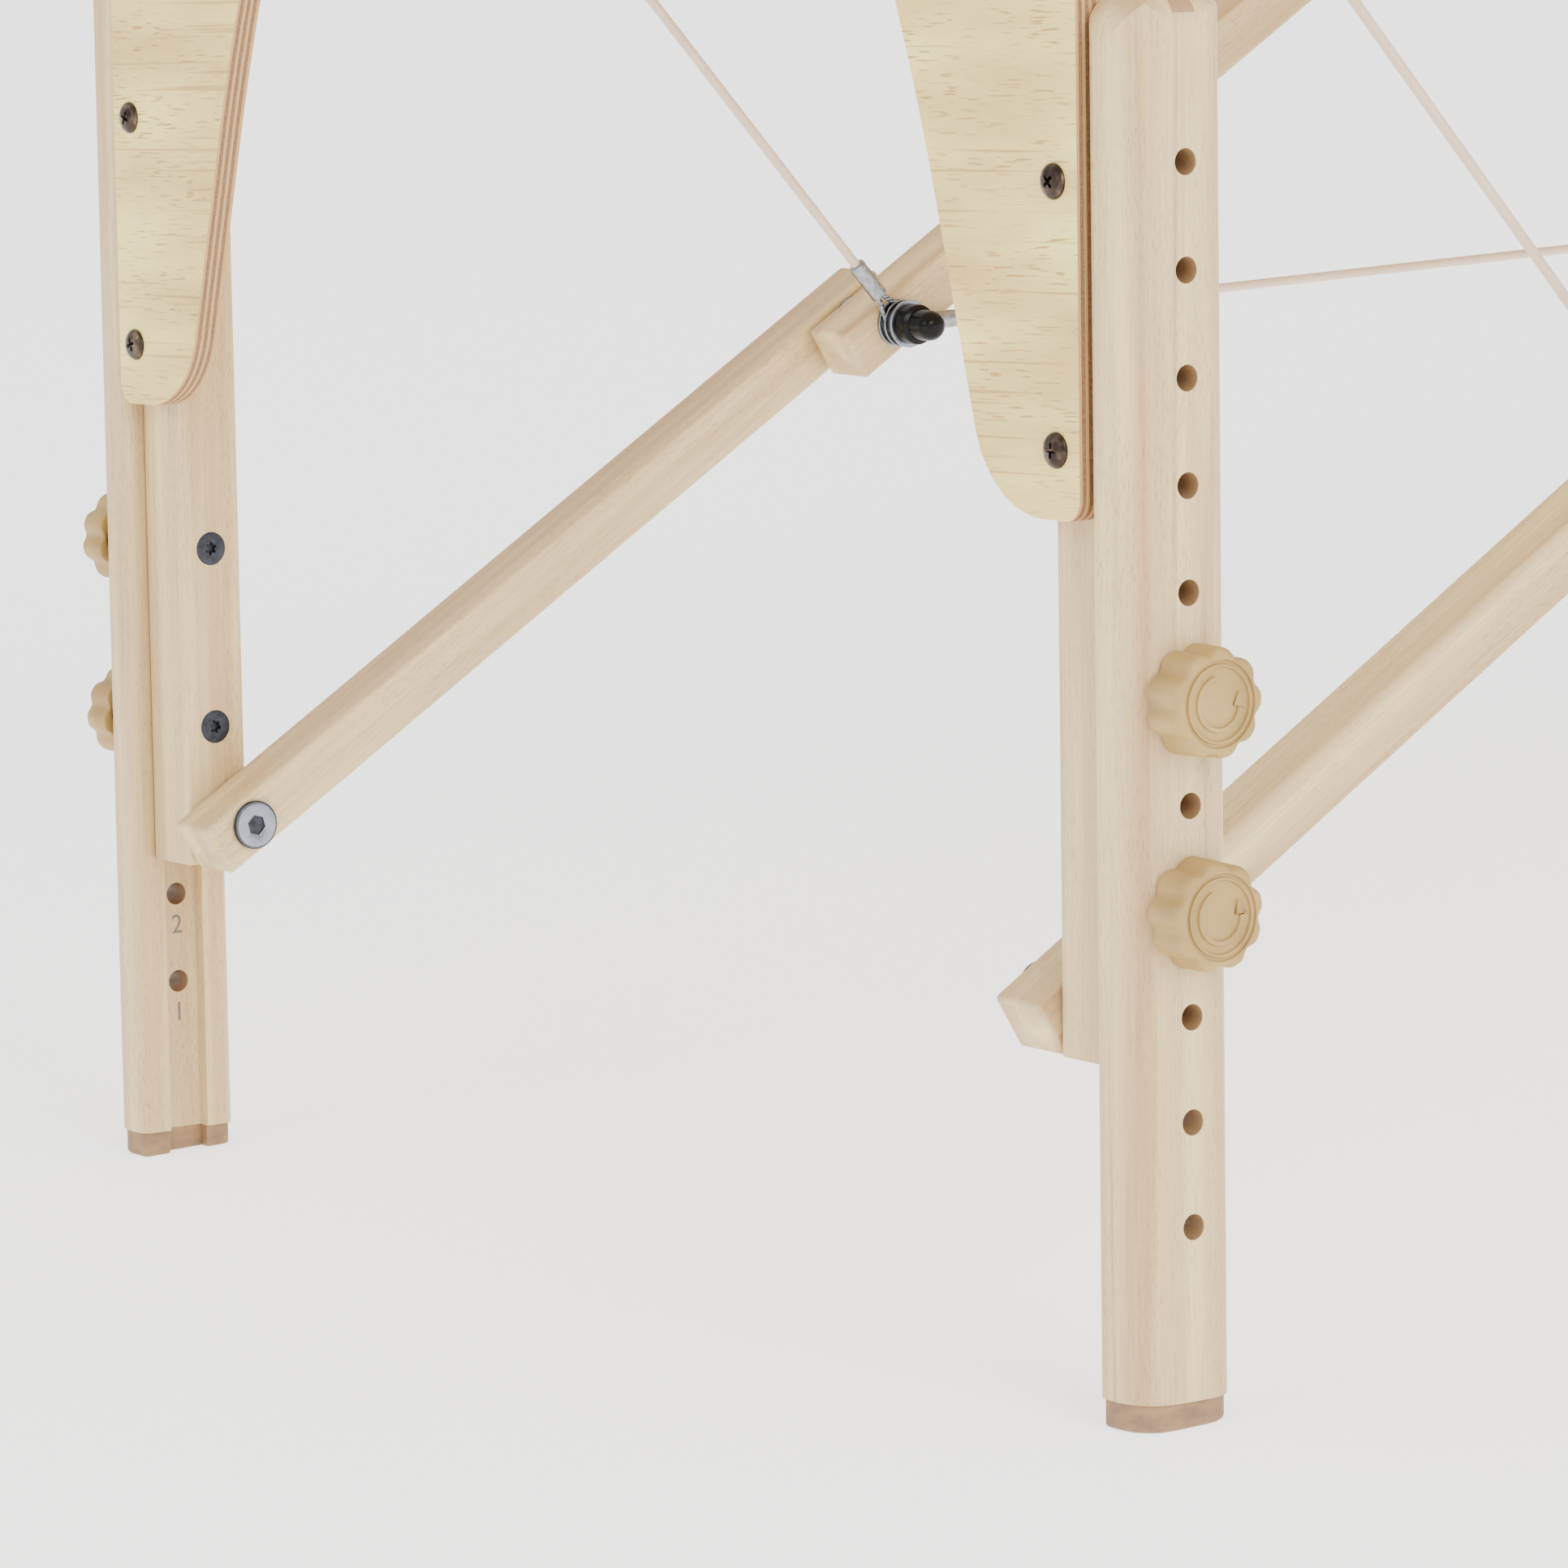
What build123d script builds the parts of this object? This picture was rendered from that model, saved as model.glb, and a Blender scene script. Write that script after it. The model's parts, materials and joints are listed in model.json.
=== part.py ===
from build123d import *
from math import cos, hypot, radians, sin, tan
import os

# Portable folding massage table, in millimetres. +X runs along the table towards the foot end,
# +Z is up, and the origin is on the floor under the middle. The head half is drawn, and the
# foot half is its mirror image.

# ---- Table top ----
half_length = 930.0
top_width = 762.0
top_height = 705.0
pad_thickness = 60.0
deck_thickness = 5.0
pad_corner = 55.0
pad_edge = 16.0
deck_inset = 4.0
middle_gap = 1.0

# ---- Frame rails ----
rail_height = 88.0
rail_thickness = 20.0
frame_width = 700.0
rail_edge = 2.0
socket_spacing = 222.0
socket_radius = 6.5

deck_under = top_height - pad_thickness - deck_thickness
rail_bottom = deck_under - rail_height
frame_side = frame_width / 2
rail_inner = frame_side - rail_thickness
end_outer = -half_length + middle_gap
end_inner = end_outer + rail_thickness

# ---- Leg lean and hinge, in the side view ----
lean = radians(1.787)
hinge_x, hinge_z = -882.0, 605.0
foot_x = hinge_x - hinge_z * tan(lean)
hinge_up = hinge_z / cos(lean)
leg_x_dir = (cos(lean), 0, -sin(lean))
leg_z_dir = (sin(lean), 0, cos(lean))

# ---- Fixed leg: a square bar with a tongue on its outer side ----
fixed_width = 24.0
fixed_in, fixed_out = 253.0, 277.5
fixed_bottom = 108.0
fixed_edge = 1.5
tongue_width, tongue_out, tongue_top = 14.6, 282.6, 525.0

# ---- Extension leg: a grooved bar that slides on the tongue ----
hole_pitch = 31.75
hole_count = 11
hole_radius = 4.0
first_hole = 61.4
ext_width = 38.0
ext_in, ext_out = 278.0, 301.5
ext_outer_round, ext_inner_round = 13.0, 4.0
groove_width, groove_floor = 15.4, 283.2
ext_bottom, ext_top = 8.3, 428.0
ext_top_round, ext_top_outer_round = 14.0, 8.0
tip_inset = 1.0
tip_edge = 1.2

# ---- Clamp bolts and knobs ----
clamp_holes = (4, 6)
clamp_shank = 3.15
clamp_head = 6.0
clamp_head_depth = 3.2
clamp_hole = 3.3
head_play = 0.1
knob_radius, knob_lobes, knob_scallop, knob_reach = 17.0, 9, 5.2, 20.4
knob_in, knob_out = 301.9, 315.9
knob_bore = 3.25
knob_hollow_radius, knob_hollow_depth, knob_boss = 13.0, 6.0, 6.5
bolt_end = 312.0

# ---- End panel: 9 mm plywood on the legs' outer face ----
panel_thickness = 9.0
panel_side = 276.5
panel_bottom, panel_top = 272.0, 578.0
panel_corner = 7.0
arch_top = 520.0
arch_knee = (197.2, 401.0)
arch_foot_y = 232.4
arch_shoulder_y = 149.1
arch_shoulder_round, arch_knee_round, arch_foot_round = 130.0, 640.0, 34.0
screw_y, screw_heights = 265.5, (293.0, 372.7)
screw_head_radius, screw_head_height, screw_head_round = 5.5, 2.6, 2.1
screw_shank, screw_depth = 1.9, 24.0

# ---- Knee brace: lower bar outside, upper bar inside ----
brace_angle = radians(29.8)
pivot_z = 124.2
brace_height = 19.7
brace_edge = 1.6
lower_in, lower_out = 229.0, 251.0
upper_in, upper_out = 203.0, 225.0
lower_end, upper_end, lower_knee_end, top_end = 16.7, 22.0, 17.8, 20.0
pivot_shank, pivot_bore = 4.0, 4.2
brace_top_z = 600.0

# The bars fold flat when their lengths differ as the hinge distances do.
pivot_x = hinge_x - (hinge_z - pivot_z) * tan(lean)
brace_run = (brace_top_z - pivot_z) / sin(brace_angle)
brace_top_x = pivot_x + brace_run * cos(brace_angle)
leg_reach = hypot(hinge_x - pivot_x, hinge_z - pivot_z)
hinge_gap = hypot(brace_top_x - hinge_x, brace_top_z - hinge_z)
lower_length = (brace_run - (hinge_gap - leg_reach)) / 2
knee_x = pivot_x + lower_length * cos(brace_angle)
knee_z = pivot_z + lower_length * sin(brace_angle)

# ---- Knee fittings, from the brace inwards ----
washer_radius = 8.7
near_washer = (201.5, 203.0)
stay_y, link_y = 200.2, 196.8
middle_washer = (198.05, 198.95)
far_washer = (194.2, 195.55)
stud_end = 186.0
cap_end = 177.5
cap_flange, cap_tip, cap_tip_round = 7.4, 5.6, 4.6
cap_flange_end = 188.5
spacer_end = 225.4
head_radius, head_thickness = 8.5, 2.2

# ---- Cables: coated wire with a crimped ferrule and a loop at each end ----
cable_radius = 1.75
ferrule_radius = 3.3
ferrule_from, ferrule_to = 14.0, 30.0
loop_radius, wire_radius, neck_radius = 5.45, 1.15, 0.95
eye_x, eye_z = end_inner + 11.0, 595.0
eye_ring, eye_wire, eye_shank = 6.6, 1.6, 1.3

# ---- Leg brackets, brace blocks and their bolts ----
plate = 2.5
running_gap = 0.3
bracket_length, bracket_round = 56.0, 13.0
block_length, block_drop = 44.0, 62.0
block_in, block_out = 227.4, 249.4
bolt_head_radius, bolt_head_height = 6.5, 4.0

# ---- Middle hinges ----
axis_z = rail_bottom - 3.2
leaf_thickness, leaf_width, leaf_length = 1.2, 17.0, 60.0
knuckle_radius, knuckle_bore, pin_radius = 3.0, 1.95, 1.7
knuckle_gap = 0.3
hinge_spots = (-250.0, 0.0, 250.0)
leaf_edge = 3.4

# ---- Carrying straps ----
strap_x, strap_z = -420.0, 600.0
strap_length, strap_width, strap_thickness, strap_stand = 190.0, 28.0, 4.0, 24.0
strap_foot = 34.0
strap_bend = 2.0
strap_corner = 0.5

os.makedirs("parts", exist_ok=True)


def write(piece, name):
    piece.part.label = name
    export_step(piece.part, "parts/" + name + ".step")


def mirrored(piece, about):
    with BuildPart() as copy:
        mirror(piece.part, about=about)
    return copy


def write_halves(piece, name):
    write(piece, "head_" + name)
    write(mirrored(piece, Plane.YZ), "foot_" + name)


def write_corners(piece, name):
    write_halves(piece, "back_" + name)
    write_halves(mirrored(piece, Plane.XZ), "front_" + name)


def upright(y):
    """A plane facing -Y at the given y, with x and z as in the side view."""
    return Plane(origin=(0, y, 0), x_dir=(1, 0, 0), z_dir=(0, -1, 0))


def leg_side(y):
    """As upright, but along the leaning leg, from its foot point."""
    return Plane(origin=(foot_x, y, 0), x_dir=leg_x_dir, z_dir=(0, -1, 0))


def leg_section(up):
    """The cross-section plane of the leg at a height along it, x across and y along Y."""
    spot = (foot_x + up * leg_z_dir[0], 0, up * leg_z_dir[2])
    return Plane(origin=spot, x_dir=leg_x_dir, z_dir=leg_z_dir)


def brace_side(y):
    """As upright, but along the brace from its pivot on the leg."""
    spot = (pivot_x, y, pivot_z)
    return Plane(origin=spot, x_dir=(cos(brace_angle), 0, sin(brace_angle)), z_dir=(0, -1, 0))


def countersink(spot, wide, narrow, mode=Mode.ADD):
    """A cone that narrows outwards from the fixed leg's inner face."""
    rim = Plane(origin=leg_side(fixed_in).from_local_coords((*spot, 0)), z_dir=(0, 1, 0))
    base = (Align.CENTER, Align.CENTER, Align.MIN)
    with Locations(rim.location):
        Cone(wide, narrow, clamp_head_depth, align=base, mode=mode)


def hole_height(number):
    return first_hole + (number - 1) * hole_pitch


def rods(plane, spots, radius, length, mode=Mode.ADD):
    """Round bars, or bores, that stand on a plane at each spot."""
    with BuildSketch(plane) as discs:
        with Locations(*spots):
            Circle(radius)
    extrude(discs.sketch, amount=length, mode=mode)


# ---- Top: pad and deck ----
with BuildPart() as pad:
    with BuildSketch(Plane.XY.offset(top_height - pad_thickness)):
        with BuildLine():
            Polyline(
                (-middle_gap, -top_width / 2),
                (-middle_gap, top_width / 2),
                (-half_length, top_width / 2),
                (-half_length, -top_width / 2),
                close=True,
            )
        corners = make_face().vertices().group_by(Axis.X)[0]
        fillet(corners, pad_corner)
    extrude(amount=pad_thickness)
    fillet(pad.faces().sort_by(Axis.Z)[-1].edges(), pad_edge)
write_halves(pad, "pad")

with BuildPart() as deck:
    with BuildSketch(Plane.XY.offset(deck_under)):
        with BuildLine():
            Polyline(
                (-middle_gap, deck_inset - top_width / 2),
                (-middle_gap, top_width / 2 - deck_inset),
                (deck_inset - half_length, top_width / 2 - deck_inset),
                (deck_inset - half_length, deck_inset - top_width / 2),
                close=True,
            )
        corners = make_face().vertices().group_by(Axis.X)[0]
        fillet(corners, pad_corner - deck_inset)
    extrude(amount=deck_thickness)
write_halves(deck, "deck")

# ---- Frame rails: two side rails between which the end and centre rails sit ----
with BuildPart() as side_rails:
    with BuildSketch(upright(frame_side)):
        with Locations(((end_outer - middle_gap) / 2, (rail_bottom + deck_under) / 2)):
            Rectangle(-end_outer - middle_gap, rail_height)
    extrude(amount=rail_thickness)
    fillet(side_rails.edges().filter_by(Axis.X).group_by(Axis.Z)[0], rail_edge)
    mirror(about=Plane.XZ)
write_halves(side_rails, "side_rails")

with BuildPart() as cross_rails:
    with BuildSketch(upright(rail_inner)):
        for edge in (end_outer, -middle_gap - rail_thickness):
            with Locations((edge + rail_thickness / 2, (rail_bottom + deck_under) / 2)):
                Rectangle(rail_thickness, rail_height)
    extrude(amount=2 * rail_inner)
    with BuildSketch(Plane.YZ.offset(end_outer)):
        with Locations((-socket_spacing / 2, eye_z), (socket_spacing / 2, eye_z)):
            Circle(socket_radius)
    extrude(amount=rail_thickness, mode=Mode.SUBTRACT)
write_halves(cross_rails, "cross_rails")

# ---- Leg brackets: a base under the deck and two cheeks beside the fixed leg ----
cheek_in = fixed_in - running_gap
cheek_out = fixed_out + running_gap + plate
cheek_drop = deck_under - hinge_z
with BuildPart() as leg_brackets:
    for outer in (cheek_out, cheek_in):
        with BuildSketch(upright(outer)):
            with Locations((hinge_x, hinge_z)):
                Circle(bracket_round)
            with Locations((hinge_x, hinge_z + cheek_drop / 2)):
                Rectangle(2 * bracket_round, cheek_drop)
            with Locations((hinge_x, hinge_z)):
                Circle(pivot_bore, mode=Mode.SUBTRACT)
        extrude(amount=plate)
    with BuildSketch(Plane.XY.offset(deck_under - plate)):
        with Locations((hinge_x + bracket_length / 2 - bracket_round, (cheek_in - plate + cheek_out) / 2)):
            Rectangle(bracket_length, cheek_out - cheek_in + plate)
    extrude(amount=plate)
    mirror(about=Plane.XZ)
write_halves(leg_brackets, "leg_brackets")

# ---- Brace blocks glued under the deck beside the upper braces ----
with BuildPart() as brace_blocks:
    with BuildSketch(upright(block_out)):
        with Locations((brace_top_x, deck_under - block_drop / 2)):
            RectangleRounded(block_length, block_drop, 3 * rail_edge)
        with Locations((brace_top_x, brace_top_z)):
            Circle(pivot_bore, mode=Mode.SUBTRACT)
    extrude(amount=block_out - block_in)
    mirror(about=Plane.XZ)
write_halves(brace_blocks, "brace_blocks")

# ---- Hinge bolts: one through each leg bracket, one through each brace block ----
with BuildPart() as hinge_bolts:
    leg_spot, brace_spot = (hinge_x, hinge_z), (brace_top_x, brace_top_z)
    rods(upright(cheek_out), [leg_spot], pivot_shank, cheek_out - cheek_in + plate)
    rods(upright(cheek_out + bolt_head_height), [leg_spot], bolt_head_radius, bolt_head_height)
    rods(upright(cheek_in - plate), [leg_spot], bolt_head_radius, bolt_head_height)
    rods(upright(block_out), [brace_spot], pivot_shank, block_out - upper_in + running_gap)
    rods(upright(upper_in - running_gap), [brace_spot], head_radius, head_thickness)
    rods(upright(block_in), [brace_spot], head_radius, block_in - upper_out - running_gap)
    mirror(about=Plane.XZ)
write_halves(hinge_bolts, "hinge_bolts")

# ---- Cable eyes screwed into the end rail ----
with BuildPart() as cable_eyes:
    with BuildSketch(Plane.XY.offset(eye_z)):
        with Locations((eye_x, stay_y)):
            Circle(eye_ring + eye_wire)
            Circle(eye_ring - eye_wire, mode=Mode.SUBTRACT)
    extrude(amount=eye_wire, both=True)
    with BuildSketch(Plane.YZ.offset(end_inner)):
        with Locations((stay_y, eye_z)):
            Circle(eye_shank)
    extrude(amount=eye_x - eye_ring - end_inner)
    mirror(about=Plane.XZ)
write_halves(cable_eyes, "cable_eyes")

# ---- Fixed legs ----
bolt_spots = [(0, hole_height(number)) for number in clamp_holes]
pivot_up = pivot_z / cos(lean)
with BuildPart() as fixed_legs:
    with BuildSketch(leg_side(fixed_out)):
        with Locations((0, hinge_up)):
            Circle(fixed_width / 2)
        with Locations((0, (fixed_bottom + hinge_up) / 2)):
            Rectangle(fixed_width, hinge_up - fixed_bottom)
    extrude(amount=fixed_out - fixed_in)
    side_edges = fixed_legs.edges().filter_by(lambda e: e.length > hinge_up / 2)
    fillet(side_edges, fixed_edge)
    with BuildSketch(leg_side(tongue_out)):
        with Locations((0, (fixed_bottom + tongue_top) / 2)):
            Rectangle(tongue_width, tongue_top - fixed_bottom)
    extrude(amount=tongue_out - fixed_out)
    rods(leg_side(tongue_out), bolt_spots, clamp_hole, tongue_out - fixed_in, Mode.SUBTRACT)
    for spot in bolt_spots:
        countersink(spot, clamp_head, clamp_hole, Mode.SUBTRACT)
    rods(leg_side(fixed_out), [(0, hinge_up)], pivot_bore, fixed_out - fixed_in, Mode.SUBTRACT)
    rods(leg_side(fixed_out - panel_corner), [(0, pivot_up)], pivot_bore,
         fixed_out - panel_corner - fixed_in, Mode.SUBTRACT)
    for height in screw_heights:
        spot = leg_section(height).origin
        face = Plane(origin=(spot.X, screw_y, spot.Z), z_dir=(-cos(lean), 0, sin(lean)))
        with BuildSketch(face):
            Circle(screw_shank)
        extrude(amount=fixed_width / 2, mode=Mode.SUBTRACT)
    mirror(about=Plane.XZ)
write_halves(fixed_legs, "fixed_legs")

# ---- Clamp bolts: countersunk heads on the inner side, threads out to the knobs ----
with BuildPart() as clamp_bolts:
    rods(leg_side(bolt_end), bolt_spots, clamp_shank, bolt_end - fixed_in - clamp_head_depth)
    for spot in bolt_spots:
        countersink(spot, clamp_head - head_play, clamp_shank)
    mirror(about=Plane.XZ)
write_halves(clamp_bolts, "clamp_bolts")

# ---- Pivot bolts: flat heads on the inner side of the lower braces ----
with BuildPart() as pivot_bolts:
    rods(leg_side(fixed_out - panel_corner), [(0, pivot_up)], pivot_shank,
         fixed_out - panel_corner - lower_in)
    rods(leg_side(lower_in - running_gap), [(0, pivot_up)], head_radius, head_thickness)
    rods(leg_side(lower_in), [(0, pivot_up)], pivot_shank, running_gap)
    rods(leg_side(fixed_in), [(0, pivot_up)], head_radius, fixed_in - lower_out - running_gap)
    mirror(about=Plane.XZ)
write_halves(pivot_bolts, "pivot_bolts")

# ---- End panel with its arch, and its four screws ----
panel_plane = Plane(
    origin=(foot_x - fixed_width / 2 * leg_x_dir[0], 0, -fixed_width / 2 * leg_x_dir[2]),
    x_dir=(0, -1, 0),
    z_dir=(-leg_x_dir[0], 0, -leg_x_dir[2]),
)
with BuildPart() as end_panel:
    with BuildSketch(panel_plane):
        with BuildLine():
            FilletPolyline(
                (0, arch_top),
                (arch_shoulder_y, arch_top),
                arch_knee,
                (arch_foot_y, panel_bottom),
                (panel_side, panel_bottom),
                (panel_side, panel_top),
                (0, panel_top),
                radius=[
                    arch_shoulder_round,
                    arch_knee_round,
                    arch_foot_round,
                    panel_corner,
                    panel_corner,
                ],
            )
            Line((0, panel_top), (0, arch_top))
        make_face()
        mirror(about=Plane.YZ)
    extrude(amount=panel_thickness)
    with BuildSketch(panel_plane):
        with Locations(*[(side * screw_y, up) for side in (-1, 1) for up in screw_heights]):
            Circle(screw_shank)
    extrude(amount=panel_thickness, mode=Mode.SUBTRACT)
write_halves(end_panel, "end_panel")

with BuildPart() as panel_screws:
    for side in (-1, 1):
        for up in screw_heights:
            with BuildSketch(panel_plane.offset(panel_thickness - screw_depth / 2)):
                with Locations((side * screw_y, up)):
                    Circle(screw_shank)
            extrude(amount=screw_depth / 2)
            with BuildSketch(panel_plane.offset(panel_thickness)):
                with Locations((side * screw_y, up)):
                    Circle(screw_head_radius)
            extrude(amount=screw_head_height)
    rims = panel_screws.edges().filter_by(GeomType.CIRCLE).filter_by(
        lambda e: abs(e.radius - screw_head_radius) < running_gap and
        panel_plane.to_local_coords(e.center()).Z > panel_thickness + running_gap)
    fillet(rims, screw_head_round)
write_halves(panel_screws, "panel_screws")

# ---- Lower braces, with countersunk knee bolts ----
with BuildPart() as lower_braces:
    with BuildSketch(brace_side(lower_out)):
        middle = (lower_length + lower_knee_end - lower_end) / 2
        with Locations((middle, 0)):
            Rectangle(lower_length + lower_knee_end + lower_end, brace_height)
    extrude(amount=lower_out - lower_in)
    fillet(lower_braces.edges(), brace_edge)
    spots = [(0, 0), (lower_length, 0)]
    rods(brace_side(lower_out), spots, pivot_bore, lower_out - lower_in, Mode.SUBTRACT)
    rods(brace_side(lower_out), [(lower_length, 0)], head_radius, clamp_head_depth, Mode.SUBTRACT)
    mirror(about=Plane.XZ)
write_halves(lower_braces, "lower_braces")

with BuildPart() as knee_bolts:
    knee_spot = [(lower_length, 0)]
    rods(brace_side(lower_out), knee_spot, pivot_shank, lower_out - spacer_end)
    rods(brace_side(lower_out), knee_spot, head_radius - running_gap, clamp_head_depth)
    rods(brace_side(lower_in), knee_spot, washer_radius, lower_in - spacer_end)
    mirror(about=Plane.XZ)
write_halves(knee_bolts, "knee_bolts")

# ---- Upper braces, with the knee studs, washers and caps ----
with BuildPart() as upper_braces:
    with BuildSketch(brace_side(upper_out)):
        first, last = lower_length - upper_end, brace_run + top_end
        with Locations(((first + last) / 2, 0)):
            Rectangle(last - first, brace_height)
    extrude(amount=upper_out - upper_in)
    fillet(upper_braces.edges(), brace_edge)
    spots = [(lower_length, 0), (brace_run, 0)]
    rods(brace_side(upper_out), spots, pivot_bore, upper_out - upper_in, Mode.SUBTRACT)
    mirror(about=Plane.XZ)
write_halves(upper_braces, "upper_braces")

with BuildPart() as knee_studs:
    rods(brace_side(upper_out), knee_spot, pivot_shank, upper_out - stud_end)
    for inner, outer in (near_washer, middle_washer, far_washer):
        rods(brace_side(outer), knee_spot, washer_radius, outer - inner)
    mirror(about=Plane.XZ)
write_halves(knee_studs, "knee_studs")

with BuildPart() as knee_caps:
    rods(brace_side(far_washer[0]), knee_spot, cap_flange, far_washer[0] - cap_flange_end)
    rods(brace_side(cap_flange_end), knee_spot, cap_tip, cap_flange_end - cap_end)
    tip = knee_caps.edges().filter_by(GeomType.CIRCLE).sort_by(Axis.Y)[0]
    fillet(tip, cap_tip_round)
    rods(brace_side(far_washer[0]), knee_spot, pivot_bore, far_washer[0] - stud_end, Mode.SUBTRACT)
    mirror(about=Plane.XZ)
write_halves(knee_caps, "knee_caps")


# ---- Cables ----
def crimped_cable(start, end, y):
    """A taut cable with a loop round each end point and a ferrule beside each loop."""
    run = Vector(end[0] - start[0], 0, end[1] - start[1])
    ends = (start, run.normalized()), (end, -run.normalized())
    for point, way in ends:
        near = Vector(point[0], y, point[1])
        ferrule = Plane(origin=near + way * ferrule_from, z_dir=way)
        rods(ferrule, [(0, 0)], ferrule_radius, ferrule_to - ferrule_from)
        rods(ferrule, [(0, 0)], neck_radius, loop_radius - ferrule_from)
        loop = upright(y + wire_radius)
        rods(loop, [point], loop_radius + wire_radius, 2 * wire_radius)
        rods(loop, [point], loop_radius - wire_radius, 2 * wire_radius, Mode.SUBTRACT)
    way = run.normalized()
    middle = Plane(origin=Vector(start[0], y, start[1]) + way * ferrule_to, z_dir=way)
    rods(middle, [(0, 0)], cable_radius, run.length - 2 * ferrule_to)


with BuildPart() as stay_cables:
    crimped_cable((knee_x, knee_z), (eye_x + eye_ring, eye_z), stay_y)
    mirror(about=Plane.XZ)
write_halves(stay_cables, "stay_cables")

with BuildPart() as link_cables:
    crimped_cable((knee_x, knee_z), (-knee_x, knee_z), link_y)
    mirror(about=Plane.XZ)
write(link_cables, "link_cables")

# ---- Extension legs, their rubber tips and the clamp knobs, one of each per corner ----
with BuildPart() as extension_leg:
    with BuildSketch(leg_section(ext_bottom)) as leg_profile:
        with Locations((0, (ext_in + ext_out) / 2)):
            Rectangle(ext_width, ext_out - ext_in)
        fillet(leg_profile.vertices().group_by(Axis.Y)[-1], ext_outer_round)
        fillet(leg_profile.vertices().group_by(Axis.Y)[0], ext_inner_round)
        with Locations((0, (ext_in + groove_floor) / 2)):
            Rectangle(groove_width, groove_floor - ext_in, mode=Mode.SUBTRACT)
    extrude(amount=ext_top - ext_bottom)
    with BuildSketch(leg_side(ext_out)) as face_outline:
        with Locations((0, (ext_bottom + ext_top) / 2)):
            Rectangle(ext_width, ext_top - ext_bottom)
        fillet(face_outline.vertices().group_by(Axis.Y)[-1], ext_top_round)
    extrude(amount=ext_out - ext_in, mode=Mode.INTERSECT)
    edge_plane = Plane(origin=(foot_x - ext_width * leg_x_dir[0], 0, -ext_width * leg_x_dir[2]),
                       x_dir=(0, 1, 0), z_dir=leg_x_dir)
    with BuildSketch(edge_plane) as edge_outline:
        with Locations(((ext_in + ext_out) / 2, (ext_bottom + ext_top) / 2)):
            Rectangle(ext_out - ext_in, ext_top - ext_bottom)
        top_outer = edge_outline.vertices().sort_by(lambda v: v.X + v.Y)[-1]
        fillet(top_outer, ext_top_outer_round)
    extrude(amount=2 * ext_width, mode=Mode.INTERSECT)
    hole_spots = [(0, hole_height(number + 1)) for number in range(hole_count)]
    rods(leg_side(ext_out), hole_spots, hole_radius, ext_out - ext_in, Mode.SUBTRACT)
write_corners(extension_leg, "extension_leg")

with BuildPart() as leg_tip:
    with BuildSketch(leg_section(ext_bottom)) as tip_profile:
        with Locations((0, (ext_in + ext_out) / 2)):
            Rectangle(ext_width - 2 * tip_inset, ext_out - ext_in - 2 * tip_inset)
        fillet(tip_profile.vertices().group_by(Axis.Y)[-1], ext_outer_round - tip_inset)
        fillet(tip_profile.vertices().group_by(Axis.Y)[0], ext_inner_round - tip_inset)
        with Locations((0, (ext_in + groove_floor) / 2)):
            Rectangle(groove_width, groove_floor - ext_in, mode=Mode.SUBTRACT)
    extrude(amount=-2 * ext_bottom)
    split(bisect_by=Plane.XY, keep=Keep.TOP)
    fillet(leg_tip.faces().sort_by(Axis.Z)[0].edges(), tip_edge)
write_corners(leg_tip, "leg_tip")

for number, place in zip(clamp_holes, ("lower", "upper")):
    centre = leg_side(knob_out).from_local_coords((0, hole_height(number), 0))
    knob_face = Plane(origin=centre, x_dir=leg_x_dir, z_dir=(0, -1, 0))
    with BuildPart() as knob:
        with BuildSketch(knob_face):
            Circle(knob_radius)
            with PolarLocations(knob_reach, knob_lobes):
                Circle(knob_scallop, mode=Mode.SUBTRACT)
        extrude(amount=knob_out - knob_in)
        with BuildSketch(knob_face.offset(knob_out - knob_in - knob_hollow_depth)):
            Circle(knob_hollow_radius)
            Circle(knob_boss, mode=Mode.SUBTRACT)
        extrude(amount=knob_hollow_depth, mode=Mode.SUBTRACT)
        with BuildSketch(knob_face.offset(knob_out - knob_in)):
            Circle(knob_bore)
        extrude(amount=-(bolt_end + running_gap - knob_in), mode=Mode.SUBTRACT)
    write_corners(knob, place + "_knob")

# ---- Middle hinges: leaves with interleaved knuckles, and their pins ----
step = leaf_length / 5


def knuckles(slots, side):
    """One leaf per hinge, with knuckles in the given fifths of its length."""
    for spot in hinge_spots:
        with BuildSketch(Plane.XY.offset(rail_bottom - leaf_thickness)) as leaf:
            with Locations((side * (leaf_edge + leaf_width / 2), spot)):
                Rectangle(leaf_width, leaf_length)
        extrude(leaf.sketch, amount=leaf_thickness)
        for slot in slots:
            low = spot - leaf_length / 2 + slot * step + knuckle_gap / 2
            with BuildSketch(upright(low + step - knuckle_gap)) as knuckle:
                with Locations((0, axis_z)):
                    Circle(knuckle_radius)
                with Locations((side * leaf_edge / 2, rail_bottom - leaf_thickness / 2)):
                    Rectangle(leaf_edge, leaf_thickness)
                with Locations((0, axis_z)):
                    Circle(knuckle_bore, mode=Mode.SUBTRACT)
            extrude(knuckle.sketch, amount=step - knuckle_gap)


with BuildPart() as head_leaves:
    knuckles((0, 2, 4), -1)
write(head_leaves, "head_hinge_leaves")

with BuildPart() as foot_leaves:
    knuckles((1, 3), 1)
write(foot_leaves, "foot_hinge_leaves")

with BuildPart() as hinge_pins:
    for spot in hinge_spots:
        rods(upright(spot + leaf_length / 2), [(0, axis_z)], pin_radius, leaf_length)
        for end in (spot + leaf_length / 2 + leaf_thickness, spot - leaf_length / 2):
            rods(upright(end), [(0, axis_z)], knuckle_radius - running_gap, leaf_thickness)
write(hinge_pins, "hinge_pins")

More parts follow.
